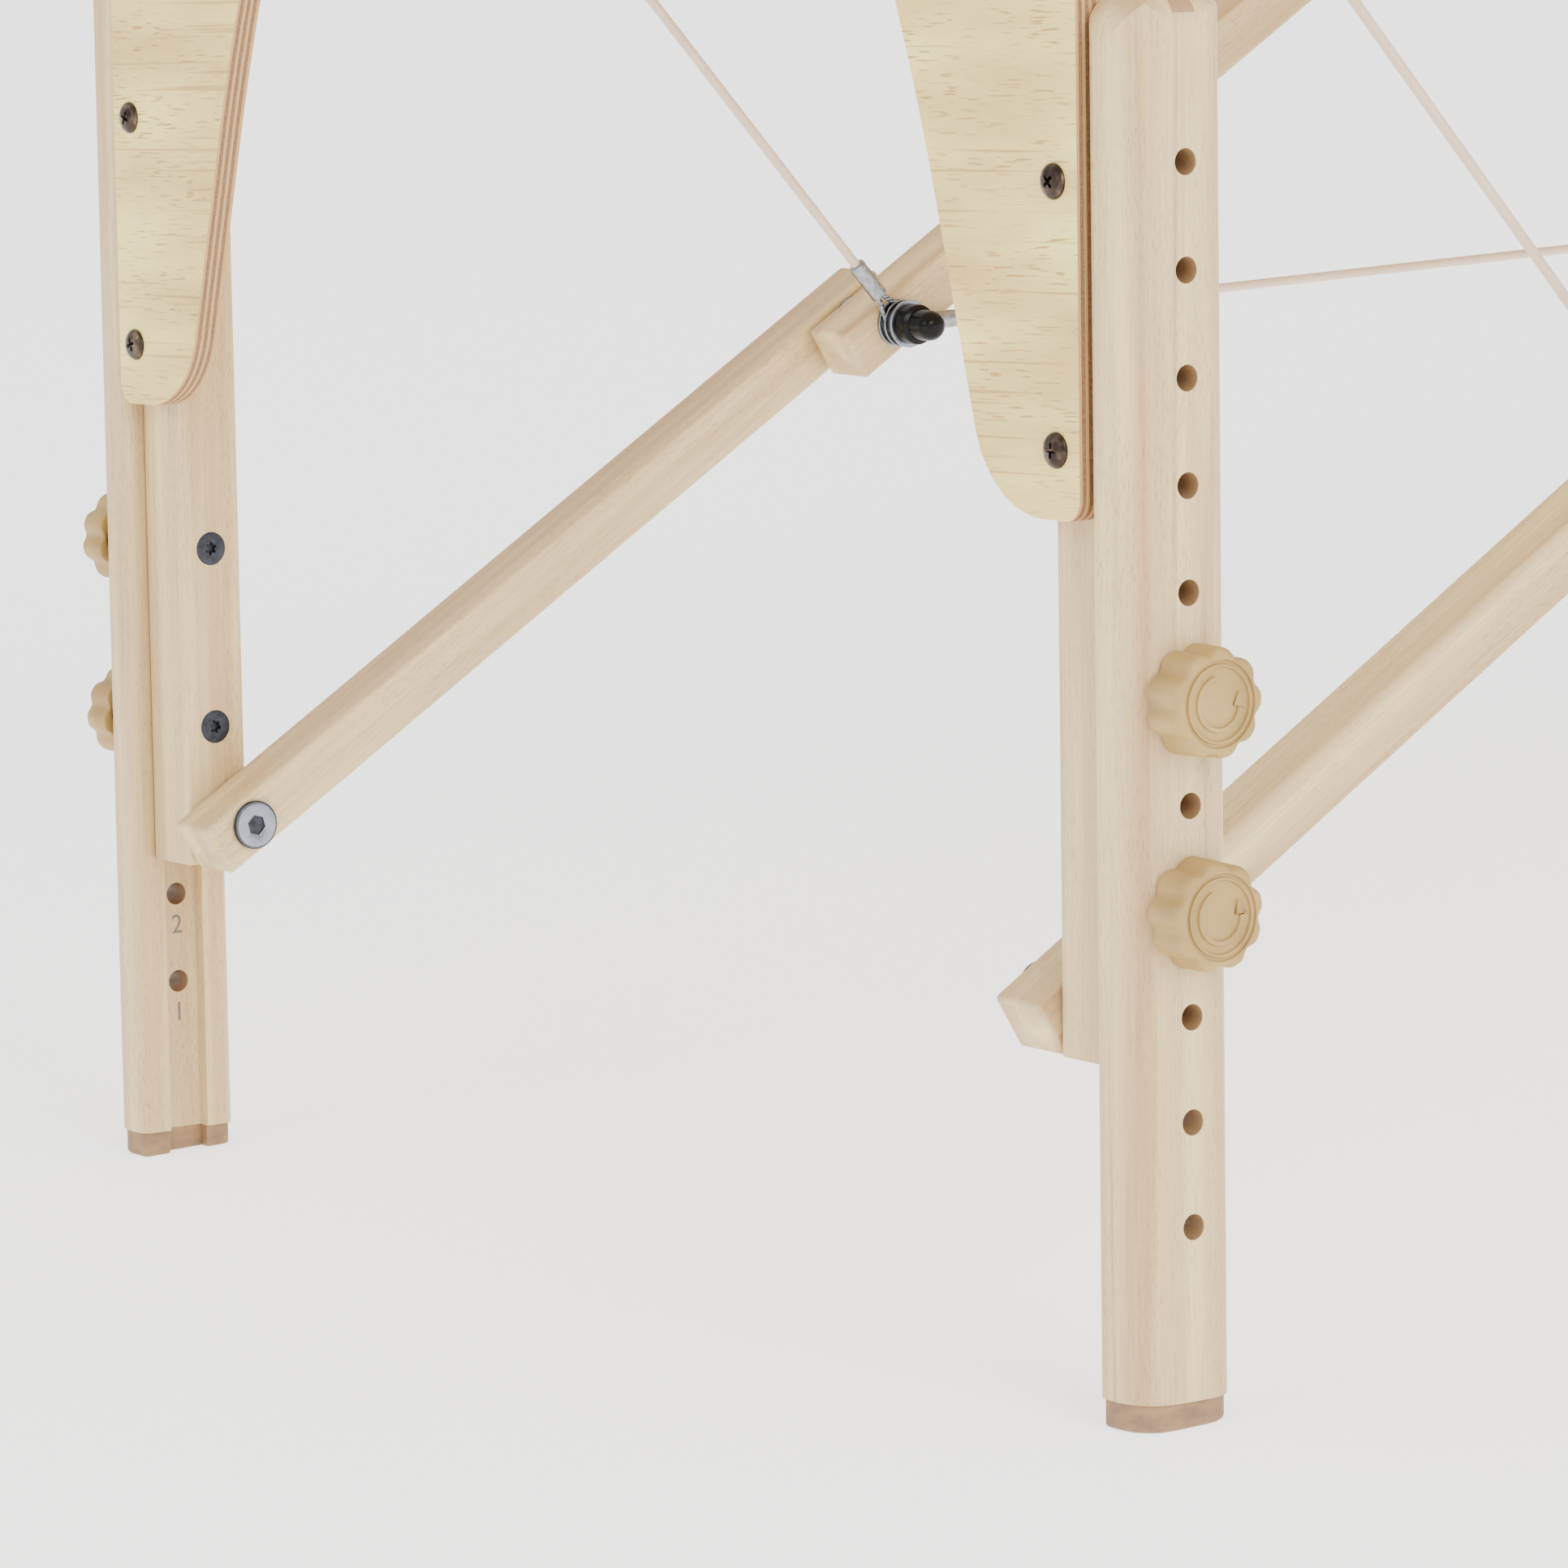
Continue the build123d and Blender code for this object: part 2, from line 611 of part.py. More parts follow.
# ---- Carrying straps on the front side rail ----
with BuildPart() as carry_strap:
    with BuildSketch(Plane.XY.offset(strap_z - strap_width / 2)) as strap_bow:
        with BuildLine():
            FilletPolyline(
                (strap_x - strap_length / 2, -frame_side),
                (strap_x - strap_length / 2 + strap_foot, -frame_side),
                (strap_x - strap_length / 2 + 2 * strap_foot, -frame_side - strap_stand),
                (strap_x + strap_length / 2 - 2 * strap_foot, -frame_side - strap_stand),
                (strap_x + strap_length / 2 - strap_foot, -frame_side),
                (strap_x + strap_length / 2, -frame_side),
                (strap_x + strap_length / 2, -frame_side - strap_thickness),
                (strap_x + strap_length / 2 - strap_foot + strap_bend, -frame_side - strap_thickness),
                (strap_x + strap_length / 2 - 2 * strap_foot + strap_bend,
                 -frame_side - strap_stand - strap_thickness),
                (strap_x - strap_length / 2 + 2 * strap_foot - strap_bend,
                 -frame_side - strap_stand - strap_thickness),
                (strap_x - strap_length / 2 + strap_foot - strap_bend, -frame_side - strap_thickness),
                (strap_x - strap_length / 2, -frame_side - strap_thickness),
                close=True,
                radius=strap_corner,
            )
        make_face()
    extrude(amount=strap_width)
write_halves(carry_strap, "carry_strap")
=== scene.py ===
import json
from math import atan2, cos, hypot, pi, radians, sin, sqrt, tau

import bmesh
import bpy
from mathutils import Matrix, Vector


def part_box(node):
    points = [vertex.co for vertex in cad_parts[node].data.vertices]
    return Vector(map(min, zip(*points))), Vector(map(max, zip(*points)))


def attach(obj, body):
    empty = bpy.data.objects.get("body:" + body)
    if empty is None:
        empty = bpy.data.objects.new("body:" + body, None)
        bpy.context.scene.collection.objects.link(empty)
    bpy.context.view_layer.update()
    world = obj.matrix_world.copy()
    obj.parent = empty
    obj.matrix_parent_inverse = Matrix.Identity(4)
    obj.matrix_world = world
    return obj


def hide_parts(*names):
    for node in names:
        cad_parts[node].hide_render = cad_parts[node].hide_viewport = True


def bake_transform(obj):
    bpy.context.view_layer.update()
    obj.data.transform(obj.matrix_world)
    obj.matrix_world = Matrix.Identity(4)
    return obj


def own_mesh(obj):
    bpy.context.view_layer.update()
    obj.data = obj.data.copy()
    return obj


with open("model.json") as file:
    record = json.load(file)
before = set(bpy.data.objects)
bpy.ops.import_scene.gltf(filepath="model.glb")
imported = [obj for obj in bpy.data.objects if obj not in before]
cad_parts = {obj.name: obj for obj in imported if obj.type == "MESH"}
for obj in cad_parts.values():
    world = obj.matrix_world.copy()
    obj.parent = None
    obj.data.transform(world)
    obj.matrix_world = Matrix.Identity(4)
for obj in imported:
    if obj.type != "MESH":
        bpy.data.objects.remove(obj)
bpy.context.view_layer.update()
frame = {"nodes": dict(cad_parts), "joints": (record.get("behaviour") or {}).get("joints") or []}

MM = 0.001
HALVES = {"head": -1, "foot": 1}
SIDES = {"back": 1, "front": -1}
LEAN = radians(1.787)


# ---- Studio ----
# A long lens on a stand beside the head end, at the height of the table top, looking down along
# the near legs. The floor is a plain matt white sheet under broad soft lamps.
def node(tree, kind, values=None, stops=None, **settings):
    """Adds a node. values sets or links its inputs, and stops are a colour ramp's (place, colour)."""
    made = tree.nodes.new("ShaderNode" + kind)
    for key, value in settings.items():
        setattr(made, key, value)
    for key, value in (values or {}).items():
        if isinstance(value, bpy.types.NodeSocket):
            tree.links.new(value, made.inputs[key])
        else:
            made.inputs[key].default_value = value
    if stops:
        ramp = made.color_ramp
        while len(ramp.elements) < len(stops):
            ramp.elements.new(0.5)
        for element, (place, colour) in zip(ramp.elements, stops):
            element.position, element.color = place, srgb(colour)
    return made


def srgb(code):
    """An sRGB hex colour, or a grey from 0 to 1, as linear RGBA."""
    if not isinstance(code, str):
        return (code, code, code, 1)
    parts = [int(code[i:i + 2], 16) / 255 for i in (1, 3, 5)]
    return (*[c / 12.92 if c <= 0.04045 else ((c + 0.055) / 1.055) ** 2.4 for c in parts], 1)


def blank(name):
    """A new material with no nodes, and its tree."""
    made = bpy.data.materials.new(name)
    made.use_nodes = True
    made.node_tree.nodes.clear()
    return made, made.node_tree


def shade(tree, values):
    """Ends a material: one shader, joined to the output."""
    shader = node(tree, "BsdfPrincipled", values)
    node(tree, "OutputMaterial", {"Surface": shader.outputs[0]})


yaw, pitch, roll = radians(54.7755), radians(9.0807), radians(-2.3547)
ahead = Vector((cos(yaw) * cos(pitch), sin(yaw) * cos(pitch), -sin(pitch)))
level = Vector((sin(yaw), -cos(yaw), 0))
up = level.cross(ahead)
right = level * cos(roll) + up * sin(roll)
top = up * cos(roll) - level * sin(roll)
camera = bpy.data.objects.new("camera", bpy.data.cameras.new("camera"))
camera.data.lens, camera.data.sensor_width = 176.88, 36
camera.matrix_world = Matrix.Translation((-2.29115, -2.0708, 0.5596)) @ Matrix(
    (right, top, -ahead)).transposed().to_4x4()
bpy.context.scene.collection.objects.link(camera)
bpy.context.scene.camera = camera

paper, tree = blank("matt white paper sweep")
grain = node(tree, "TexNoise", {"Scale": 3.0, "Detail": 3.0})
tone = node(tree, "ValToRGB", {0: grain.outputs[0]}, [(0.3, "#F7F7F6"), (0.7, "#FBFBFA")])
shade(tree, {"Base Color": tone.outputs[0], "Roughness": 0.9, "Emission Color": srgb("#FFFFFF"),
             "Emission Strength": 1.3})
sheet = bmesh.new()
bmesh.ops.create_grid(sheet, x_segments=8, y_segments=8, size=30)
floor = bpy.data.objects.new("floor", bpy.data.meshes.new("floor"))
sheet.to_mesh(floor.data)
floor.data.materials.append(paper)
bpy.context.scene.collection.objects.link(floor)

world = bpy.data.worlds.new("white studio")
world.use_nodes = True
world.node_tree.nodes["Background"].inputs[0].default_value = srgb("#FFFFFF")
world.node_tree.nodes["Background"].inputs[1].default_value = 1.4
bpy.context.scene.world = world
for name, place, size, watts in (
    ("key lamp", (-1.2, -4.2, 2.6), 2.6, 190),
    ("side lamp", (-4.6, -0.4, 2.2), 2.4, 55),
):
    lamp = bpy.data.objects.new(name, bpy.data.lights.new(name, "AREA"))
    lamp.data.size, lamp.data.energy = size, watts
    lamp.location = place
    lamp.rotation_mode = "QUATERNION"
    lamp.rotation_quaternion = (Vector(place) - Vector((-0.7, 0, 0.35))).to_track_quat("Z", "Y")
    bpy.context.scene.collection.objects.link(lamp)


# ---- Beech bars: fixed legs, braces, rails and blocks ----
# Planed steamed beech, cream with warmer bands, short brown ray flecks and a thin clear satin
# lacquer. Each bar is cut along its grain, so the pattern is turned to run down each one.
def along_grain(tree, turn, centre=(0, 0, 0)):
    """Place in millimetres with X along the grain."""
    place = node(tree, "TexCoord").outputs["Object"]
    turned_to = node(tree, "Mapping", {"Vector": place, "Rotation": turn, "Scale": (1000, 1000, 1000)})
    return node(tree, "VectorMath", {0: turned_to.outputs[0], 1: centre}, operation="ADD").outputs[0]


def stretched(tree, place, sizes, kind="TexNoise", **values):
    """A texture whose features have these sizes in millimetres."""
    spread = node(tree, "Mapping", {"Vector": place, "Scale": [1 / s for s in sizes]})
    return node(tree, kind, {"Vector": spread.outputs[0], "Scale": 1.0,
                             **{k.replace("_", " "): v for k, v in values.items()}}).outputs[0]


def lacquered_beech(name, turn, centre=(0, 0, 0), holes=False, warmth=0.5):
    made, tree = blank(name)
    place = along_grain(tree, turn, centre)
    rings = stretched(tree, place, (420, 13, 13), Detail=2.0, Distortion=0.4)
    base = node(tree, "ValToRGB", {0: rings}, [
        (0.30, "#E5CD94"), (0.47, "#D0B686"), (0.58, "#C5A878"), (0.70, "#C29F70")])
    band = stretched(tree, place, (300, 7.5, 7.5), Detail=3.0, Distortion=0.6)
    band = node(tree, "MapRange", {0: band, 1: 0.56, 2: 0.70, 3: 0.0, 4: warmth})
    base = node(tree, "Mix", {0: band.outputs[0], 6: base.outputs[0], 7: srgb("#B08353")}, data_type="RGBA")
    fibre = stretched(tree, place, (26, 0.75, 0.75), Detail=3.0, Roughness=0.6)
    streak = node(tree, "MapRange", {0: fibre, 1: 0.38, 2: 0.70, 3: 0.0, 4: 0.26})
    base = node(tree, "Mix", {0: streak.outputs[0], 6: base.outputs[2], 7: srgb("#906E49")}, data_type="RGBA")
    # Ray flecks are 0.3 mm wide, drawn about twice that so that they show.
    rays = stretched(tree, place, (4.6, 0.75, 0.75), "TexVoronoi", Randomness=1.0)
    fleck = node(tree, "MapRange", {0: rays, 1: 0.38, 2: 0.18, 3: 0.0, 4: 0.38})
    patch = stretched(tree, place, (60, 12, 12), Detail=1.0)
    patch = node(tree, "MapRange", {0: patch, 1: 0.38, 2: 0.60, 3: 0.15, 4: 1.0})
    fleck = node(tree, "Math", {0: fleck.outputs[0], 1: patch.outputs[0]}, operation="MULTIPLY")
    base = node(tree, "Mix", {0: fleck.outputs[0], 6: base.outputs[2], 7: srgb("#7A5734")}, data_type="RGBA")
    colour = base.outputs[2]
    if holes:
        # The drilled walls are end grain and keep the dust of the drill, so they are darker.
        parts = node(tree, "SeparateXYZ", {0: place})
        out = node(tree, "Math", {0: parts.outputs[2]}, operation="ABSOLUTE")
        out = node(tree, "Math", {0: out.outputs[0], 1: 900.438}, operation="SUBTRACT")
        across = node(tree, "Math", {0: out.outputs[0], 1: 0.0, 2: 4.1}, operation="COMPARE")
        depth = node(tree, "Math", {0: parts.outputs[1]}, operation="ABSOLUTE")
        inside = node(tree, "Math", {0: depth.outputs[0], 1: 292.4, 2: 8.7}, operation="COMPARE")
        wall = node(tree, "Math", {0: across.outputs[0], 1: inside.outputs[0]}, operation="MULTIPLY")
        wall = node(tree, "Math", {0: wall.outputs[0], 1: 0.75}, operation="MULTIPLY")
        colour = node(tree, "Mix", {0: wall.outputs[0], 6: colour, 7: srgb("#8E6848")}, data_type="RGBA").outputs[2]
    relief = node(tree, "Math", {0: fibre, 1: fleck.outputs[0]}, operation="SUBTRACT")
    bump = node(tree, "Bump", {"Strength": 0.25, "Distance": 0.0001, "Height": relief.outputs[0]})
    rough = node(tree, "MapRange", {0: fibre, 3: 0.40, 4: 0.56})
    shade(tree, {"Base Color": colour, "Roughness": rough.outputs[0], "Normal": bump.outputs[0],
                 "IOR": 1.5, "Coat Weight": 0.12, "Coat Roughness": 0.3})
    return made


def dress(name, made):
    """Gives a carried-over CAD node its finish."""
    frame["nodes"][name].data.materials.clear()
    frame["nodes"][name].data.materials.append(made)


brace_angle = radians(29.8)
beech_legs, beech_braces = {}, {}
for half, way in HALVES.items():
    leg_turn = (0, pi / 2 + way * LEAN, 0)
    beech_legs[half] = lacquered_beech("lacquered beech, " + half + " legs", leg_turn)
    beech_braces[half] = lacquered_beech(
        "lacquered beech, " + half + " braces", (0, brace_angle if way < 0 else pi - brace_angle, 0),
        warmth=0.35)
    dress(half + "_fixed_legs", beech_legs[half])
    dress(half + "_lower_braces", beech_braces[half])
    dress(half + "_upper_braces", beech_braces[half])
beech_lengthways = lacquered_beech("lacquered beech, side rails", (0, 0, 0))
beech_crossways = lacquered_beech("lacquered beech, cross rails", (0, 0, -pi / 2))
beech_upright = lacquered_beech("lacquered beech, brace blocks", (0, pi / 2, 0))
for half in HALVES:
    dress(half + "_side_rails", beech_lengthways)
    dress(half + "_cross_rails", beech_crossways)
    dress(half + "_brace_blocks", beech_upright)


# ---- End panels ----
# 9 mm plywood of seven plies, faced both sides with a printed maple laminate. The sawn edge shows
# the plies, long grain pale and end grain darker, with a thin dark line at each layer of glue.
ply = 9 / 7
panel_inner = 12.0
for half, way in HALVES.items():
    laminate, tree = blank("maple laminate on plywood, " + half)
    place = along_grain(tree, (0, pi / 2 + way * LEAN, 0))
    parts = node(tree, "SeparateXYZ", {0: place})
    out = node(tree, "Math", {0: parts.outputs[2]}, operation="ABSOLUTE")
    out = node(tree, "Math", {0: out.outputs[0], 1: 900.438 + panel_inner}, operation="SUBTRACT")
    slope = node(tree, "Math", {0: parts.outputs[1], 1: 0.035, 2: parts.outputs[0]}, operation="MULTIPLY_ADD")
    face_place = node(tree, "CombineXYZ", {0: slope.outputs[0], 1: parts.outputs[1], 2: out.outputs[0]}).outputs[0]
    cloud = stretched(tree, face_place, (26, 120, 60), Detail=3.0)
    ground = node(tree, "ValToRGB", {0: cloud}, [(0.34, "#F3E487"), (0.52, "#E0C475"), (0.68, "#C9AC62")])
    dash = stretched(tree, face_place, (0.75, 11, 40), Detail=1.5, Roughness=0.5)
    dash = node(tree, "MapRange", {0: dash, 1: 0.60, 2: 0.655, 3: 0.0, 4: 0.85})
    where = stretched(tree, face_place, (16, 70, 60), Detail=2.0)
    where = node(tree, "MapRange", {0: where, 1: 0.38, 2: 0.58, 3: 0.2, 4: 1.0})
    dash = node(tree, "Math", {0: dash.outputs[0], 1: where.outputs[0]}, operation="MULTIPLY")
    line = stretched(tree, face_place, (1.5, 130, 60), Detail=1.0)
    line = node(tree, "MapRange", {0: line, 1: 0.63, 2: 0.70, 3: 0.0, 4: 0.65})
    print_mark = node(tree, "Math", {0: dash.outputs[0], 1: line.outputs[0]}, operation="MAXIMUM")
    face = node(tree, "Mix", {0: print_mark.outputs[0], 6: ground.outputs[0], 7: srgb("#A8803A")}, data_type="RGBA")
    layer = node(tree, "Math", {0: out.outputs[0], 1: ply}, operation="DIVIDE")
    number = node(tree, "Math", {0: layer.outputs[0]}, operation="FLOOR")
    odd = node(tree, "Math", {0: number.outputs[0], 1: 2.0}, operation="MODULO")
    fibres = stretched(tree, place, (9, 9, 0.25), Detail=4.0, Roughness=0.7)
    pores = stretched(tree, place, (0.8, 0.8, 0.5), Detail=2.0)
    pale = node(tree, "ValToRGB", {0: fibres}, [(0.35, "#B08A58"), (0.65, "#C49C62")])
    dark = node(tree, "ValToRGB", {0: pores}, [(0.35, "#745338"), (0.65, "#8F6C48")])
    edge = node(tree, "Mix", {0: odd.outputs[0], 6: pale.outputs[0], 7: dark.outputs[0]}, data_type="RGBA")
    part = node(tree, "Math", {0: layer.outputs[0], 1: 1.0}, operation="PINGPONG")
    glue = node(tree, "MapRange", {0: part.outputs[0], 1: 0.12, 2: 0.05, 3: 0.0, 4: 0.8})
    edge = node(tree, "Mix", {0: glue.outputs[0], 6: edge.outputs[2], 7: srgb("#6A402A")}, data_type="RGBA")
    core = node(tree, "Math", {0: out.outputs[0], 1: 4.5, 2: 4.42}, operation="COMPARE")
    colour = node(tree, "Mix", {0: core.outputs[0], 6: face.outputs[2], 7: edge.outputs[2]}, data_type="RGBA")
    relief = node(tree, "Math", {0: print_mark.outputs[0], 1: -0.4}, operation="MULTIPLY")
    bump = node(tree, "Bump", {"Strength": 0.2, "Distance": 0.0001, "Height": relief.outputs[0]})
    rough = node(tree, "MapRange", {0: core.outputs[0], 3: 0.42, 4: 0.7})
    shade(tree, {"Base Color": colour.outputs[2], "Roughness": rough.outputs[0],
                 "Normal": bump.outputs[0], "IOR": 1.5})
    dress(half + "_end_panel", laminate)

# ---- Deck ----
# Thin birch plywood pinned down on the rails, sanded but not finished. Its underside shows when
# the table is folded.
birch, tree = blank("sanded birch plywood")
place = along_grain(tree, (0, 0, 0))
cloud = stretched(tree, place, (260, 34, 34), Detail=3.0, Distortion=1.2)
ground = node(tree, "ValToRGB", {0: cloud}, [(0.35, "#E3D2B0"), (0.5, "#DAC69F"), (0.66, "#CDB487")])
fibre = stretched(tree, place, (22, 0.8, 0.8), Detail=3.0)
streak = node(tree, "MapRange", {0: fibre, 1: 0.4, 2: 0.7, 3: 0.0, 4: 0.35})
face = node(tree, "Mix", {0: streak.outputs[0], 6: ground.outputs[0], 7: srgb("#B8976A")}, data_type="RGBA")
height = node(tree, "SeparateXYZ", {0: place})
layer = node(tree, "Math", {0: height.outputs[2], 1: 640.0}, operation="SUBTRACT")
layer = node(tree, "Math", {0: layer.outputs[0], 1: 1.0}, operation="PINGPONG")
glue = node(tree, "MapRange", {0: layer.outputs[0], 1: 0.2, 2: 0.05, 3: 0.0, 4: 0.7})
core = node(tree, "Math", {0: height.outputs[2], 1: 642.5, 2: 2.4}, operation="COMPARE")
glue = node(tree, "Math", {0: glue.outputs[0], 1: core.outputs[0]}, operation="MULTIPLY")
colour = node(tree, "Mix", {0: glue.outputs[0], 6: face.outputs[2], 7: srgb("#6E4F33")}, data_type="RGBA")
bump = node(tree, "Bump", {"Strength": 0.3, "Distance": 0.0001, "Height": fibre})
shade(tree, {"Base Color": colour.outputs[2], "Roughness": 0.68, "Normal": bump.outputs[0], "IOR": 1.5})
for half in HALVES:
    dress(half + "_deck", birch)


# ---- Extension legs ----
# Grooved beech bars that slide on the fixed legs. Eleven holes are drilled through, and the holes
# in use are numbered in grey print on the floor of the groove, each number below its hole.
def piece(name, parts, made, body, smooth=35):
    """An object from bmeshes, with edges sharper than the angle kept sharp."""
    mesh = bpy.data.meshes.new(name)
    whole = bmesh.new()
    for part in parts:
        part.to_mesh(mesh)
        whole.from_mesh(mesh)
        part.free()
    for face in whole.faces:
        face.smooth = True
    for edge in whole.edges:
        edge.smooth = edge.calc_face_angle(0) < radians(smooth)
    whole.to_mesh(mesh)
    whole.free()
    made_piece = bpy.data.objects.new(name, mesh)
    mesh.materials.append(made)
    bpy.context.scene.collection.objects.link(made_piece)
    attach(made_piece, body)
    return made_piece


def leg_point(way, across, y, height):
    """A place on the leaning leg in metres: across is towards the middle of the table."""
    return Vector((way * (0.900876 - (height * sin(LEAN) + across * cos(LEAN)) * MM), y * MM,
                   (height * cos(LEAN) - across * sin(LEAN)) * MM))


def leg_axes(way):
    """The leaning leg's own directions: across towards the middle, and up."""
    return Vector((-way * cos(LEAN), 0, -sin(LEAN))), Vector((-way * sin(LEAN), 0, cos(LEAN)))


ink, tree = blank("grey pad-printed ink")
place = along_grain(tree, (0, 0, 0))
wear = stretched(tree, place, (0.5, 0.5, 0.5), Detail=3.0)
tone = node(tree, "ValToRGB", {0: wear}, [(0.35, "#4C4A4A"), (0.7, "#77716C")])
shade(tree, {"Base Color": tone.outputs[0], "Roughness": 0.6, "IOR": 1.5})

first_hole, pitch, groove_floor = 61.4, 31.75, 283.2
digit_height, digit_drop, ink_depth = 7.0, 11.4, 0.06
for half, way in HALVES.items():
    legs = lacquered_beech("lacquered beech, " + half + " extension legs",
                           (0, pi / 2 + way * LEAN, 0), holes=True, warmth=0.6)
    across, rise = leg_axes(way)
    for side, far in SIDES.items():
        dress(half + "_" + side + "_extension_leg", legs)
        numbers = []
        reading = rise.cross(Vector((0, -far, 0)))
        for count in range(1, 10):
            letter = bpy.data.curves.new("number", "FONT")
            letter.body, letter.align_x, letter.align_y = str(count), "CENTER", "CENTER"
            letter.size, letter.extrude = digit_height * 1.4 * MM, ink_depth * MM
            holder = bpy.data.objects.new("number", letter)
            flat = bpy.data.meshes.new_from_object(holder)
            bpy.data.objects.remove(holder)
            height = first_hole + (count - 1) * pitch - digit_drop
            spot = leg_point(way, 0, far * groove_floor, height)
            turn = Matrix((reading, rise, Vector((0, -far, 0)))).transposed().to_4x4()
            flat.transform(Matrix.Translation(spot) @ turn)
            digits = bmesh.new()
            digits.from_mesh(flat)
            numbers.append(digits)
        piece(f"{half}_{side}_hole_numbers", numbers, ink, f"{half}_{side}_extension")

# ---- Leg tips ----
# Moulded tan rubber shoes pressed on the sawn ends, softly rounded underneath and scuffed by
# floors, with a few dark marks.
rubber, tree = blank("moulded tan rubber, scuffed")
place = along_grain(tree, (0, 0, 0))
cloud = stretched(tree, place, (9, 9, 5), Detail=4.0, Roughness=0.6)
ground = node(tree, "ValToRGB", {0: cloud}, [(0.3, "#95744C"), (0.55, "#806345"), (0.75, "#6B543D")])
mark = stretched(tree, place, (5, 5, 1.2), Detail=5.0, Roughness=0.7, Distortion=0.8)
mark = node(tree, "MapRange", {0: mark, 1: 0.60, 2: 0.74, 3: 0.0, 4: 0.75})
colour = node(tree, "Mix", {0: mark.outputs[0], 6: ground.outputs[0], 7: srgb("#7B6753")}, data_type="RGBA")
skin = stretched(tree, place, (0.5, 0.5, 0.5), Detail=2.0)
bump = node(tree, "Bump", {"Strength": 0.3, "Distance": 0.0001, "Height": skin})
shade(tree, {"Base Color": colour.outputs[2], "Roughness": 0.62, "Normal": bump.outputs[0], "IOR": 1.52})
for half in HALVES:
    for side in SIDES:
        dress(f"{half}_{side}_leg_tip", rubber)


# ---- Clamp knobs ----
# Nine-lobed knobs in tan moulded plastic with a fine spark-eroded texture. The back is hollow,
# with a rib under each lobe, and the face has a thin raised ring and a turning arrow.
def turned(profile, sides=96):
    """A round solid about Z, extruded ring by ring. A radius may be a function of the angle."""
    made = bmesh.new()
    ring = bmesh.ops.create_circle(made, segments=sides, radius=1)["verts"]
    edges = made.edges[:]
    for step, (radius, height) in enumerate(profile):
        if step:
            grown = bmesh.ops.extrude_edge_only(made, edges=edges)["geom"]
            ring = [g for g in grown if isinstance(g, bmesh.types.BMVert)]
            edges = [g for g in grown if isinstance(g, bmesh.types.BMEdge)]
        for vert in ring:
            angle = atan2(vert.co.y, vert.co.x) if vert.co.xy.length else 0
            reach = max(radius(angle) if callable(radius) else radius, 1e-3)
            vert.co = (cos(angle) * reach, sin(angle) * reach, height)
    bmesh.ops.remove_doubles(made, verts=made.verts, dist=2.5e-3)
    bmesh.ops.recalc_face_normals(made, faces=made.faces)
    return made


def placed(made, spot, axis, level=(0, 0, 1), turn=0.0):
    """Moves a solid made in millimetres about Z so that Z lies along the axis at the spot."""
    z = Vector(axis).normalized()
    x = (Vector(level) - z * z.dot(Vector(level))).normalized()
    frame_of = Matrix((x, z.cross(x), z)).transposed().to_4x4()
    place = Matrix.Translation(spot) @ frame_of @ Matrix.Rotation(turn, 4, "Z") @ Matrix.Scale(MM, 4)
    bmesh.ops.transform(made, matrix=place, verts=made.verts)
    return made


def lobed(radius, dip, lobes=9, sharpness=1.7):
    return lambda angle: radius - dip * ((1 + cos(lobes * angle)) / 2) ** sharpness


plastic, tree = blank("tan moulded nylon")
place = along_grain(tree, (0, 0, 0))
spark = stretched(tree, place, (0.45, 0.45, 0.45), Detail=3.0)
cloud = stretched(tree, place, (14, 14, 14), Detail=2.0)
tone = node(tree, "ValToRGB", {0: cloud}, [(0.3, "#AB8B4E"), (0.7, "#977942")])
bump = node(tree, "Bump", {"Strength": 0.22, "Distance": 0.0001, "Height": spark})
rough = node(tree, "MapRange", {0: cloud, 3: 0.46, 4: 0.56})
shade(tree, {"Base Color": tone.outputs[0], "Roughness": rough.outputs[0], "Normal": bump.outputs[0],
             "IOR": 1.53, "Subsurface Weight": 0.06, "Subsurface Radius": (0.004, 0.0025, 0.0015),
             "Subsurface Scale": 0.5})

knob_profile = [
    (0, 10.4), (2.0, 10.4), (3.3, 10.2), (3.3, 0.9), (6.3, 0.7), (6.6, 1.0), (6.9, 6.0), (12.9, 6.0), (13.4, 0.4),
    (lobed(15.9, 1.6), 0.0), (lobed(16.7, 1.75), 0.25), (lobed(17.0, 1.8), 0.9), (lobed(16.75, 1.8), 11.6),
    (lobed(16.55, 1.8), 12.5), (lobed(16.1, 1.7), 13.3), (lobed(15.3, 1.5), 13.8), (lobed(14.4, 1.1), 14.0),
    (13.2, 13.95), (13.0, 13.25), (12.0, 13.2), (11.8, 13.95), (11.2, 13.95), (11.0, 13.2), (0, 13.2)]
turns = iter((0.1, 0.9, 0.55, 0.25, 0.7, 0.4, 0.0, 0.6))
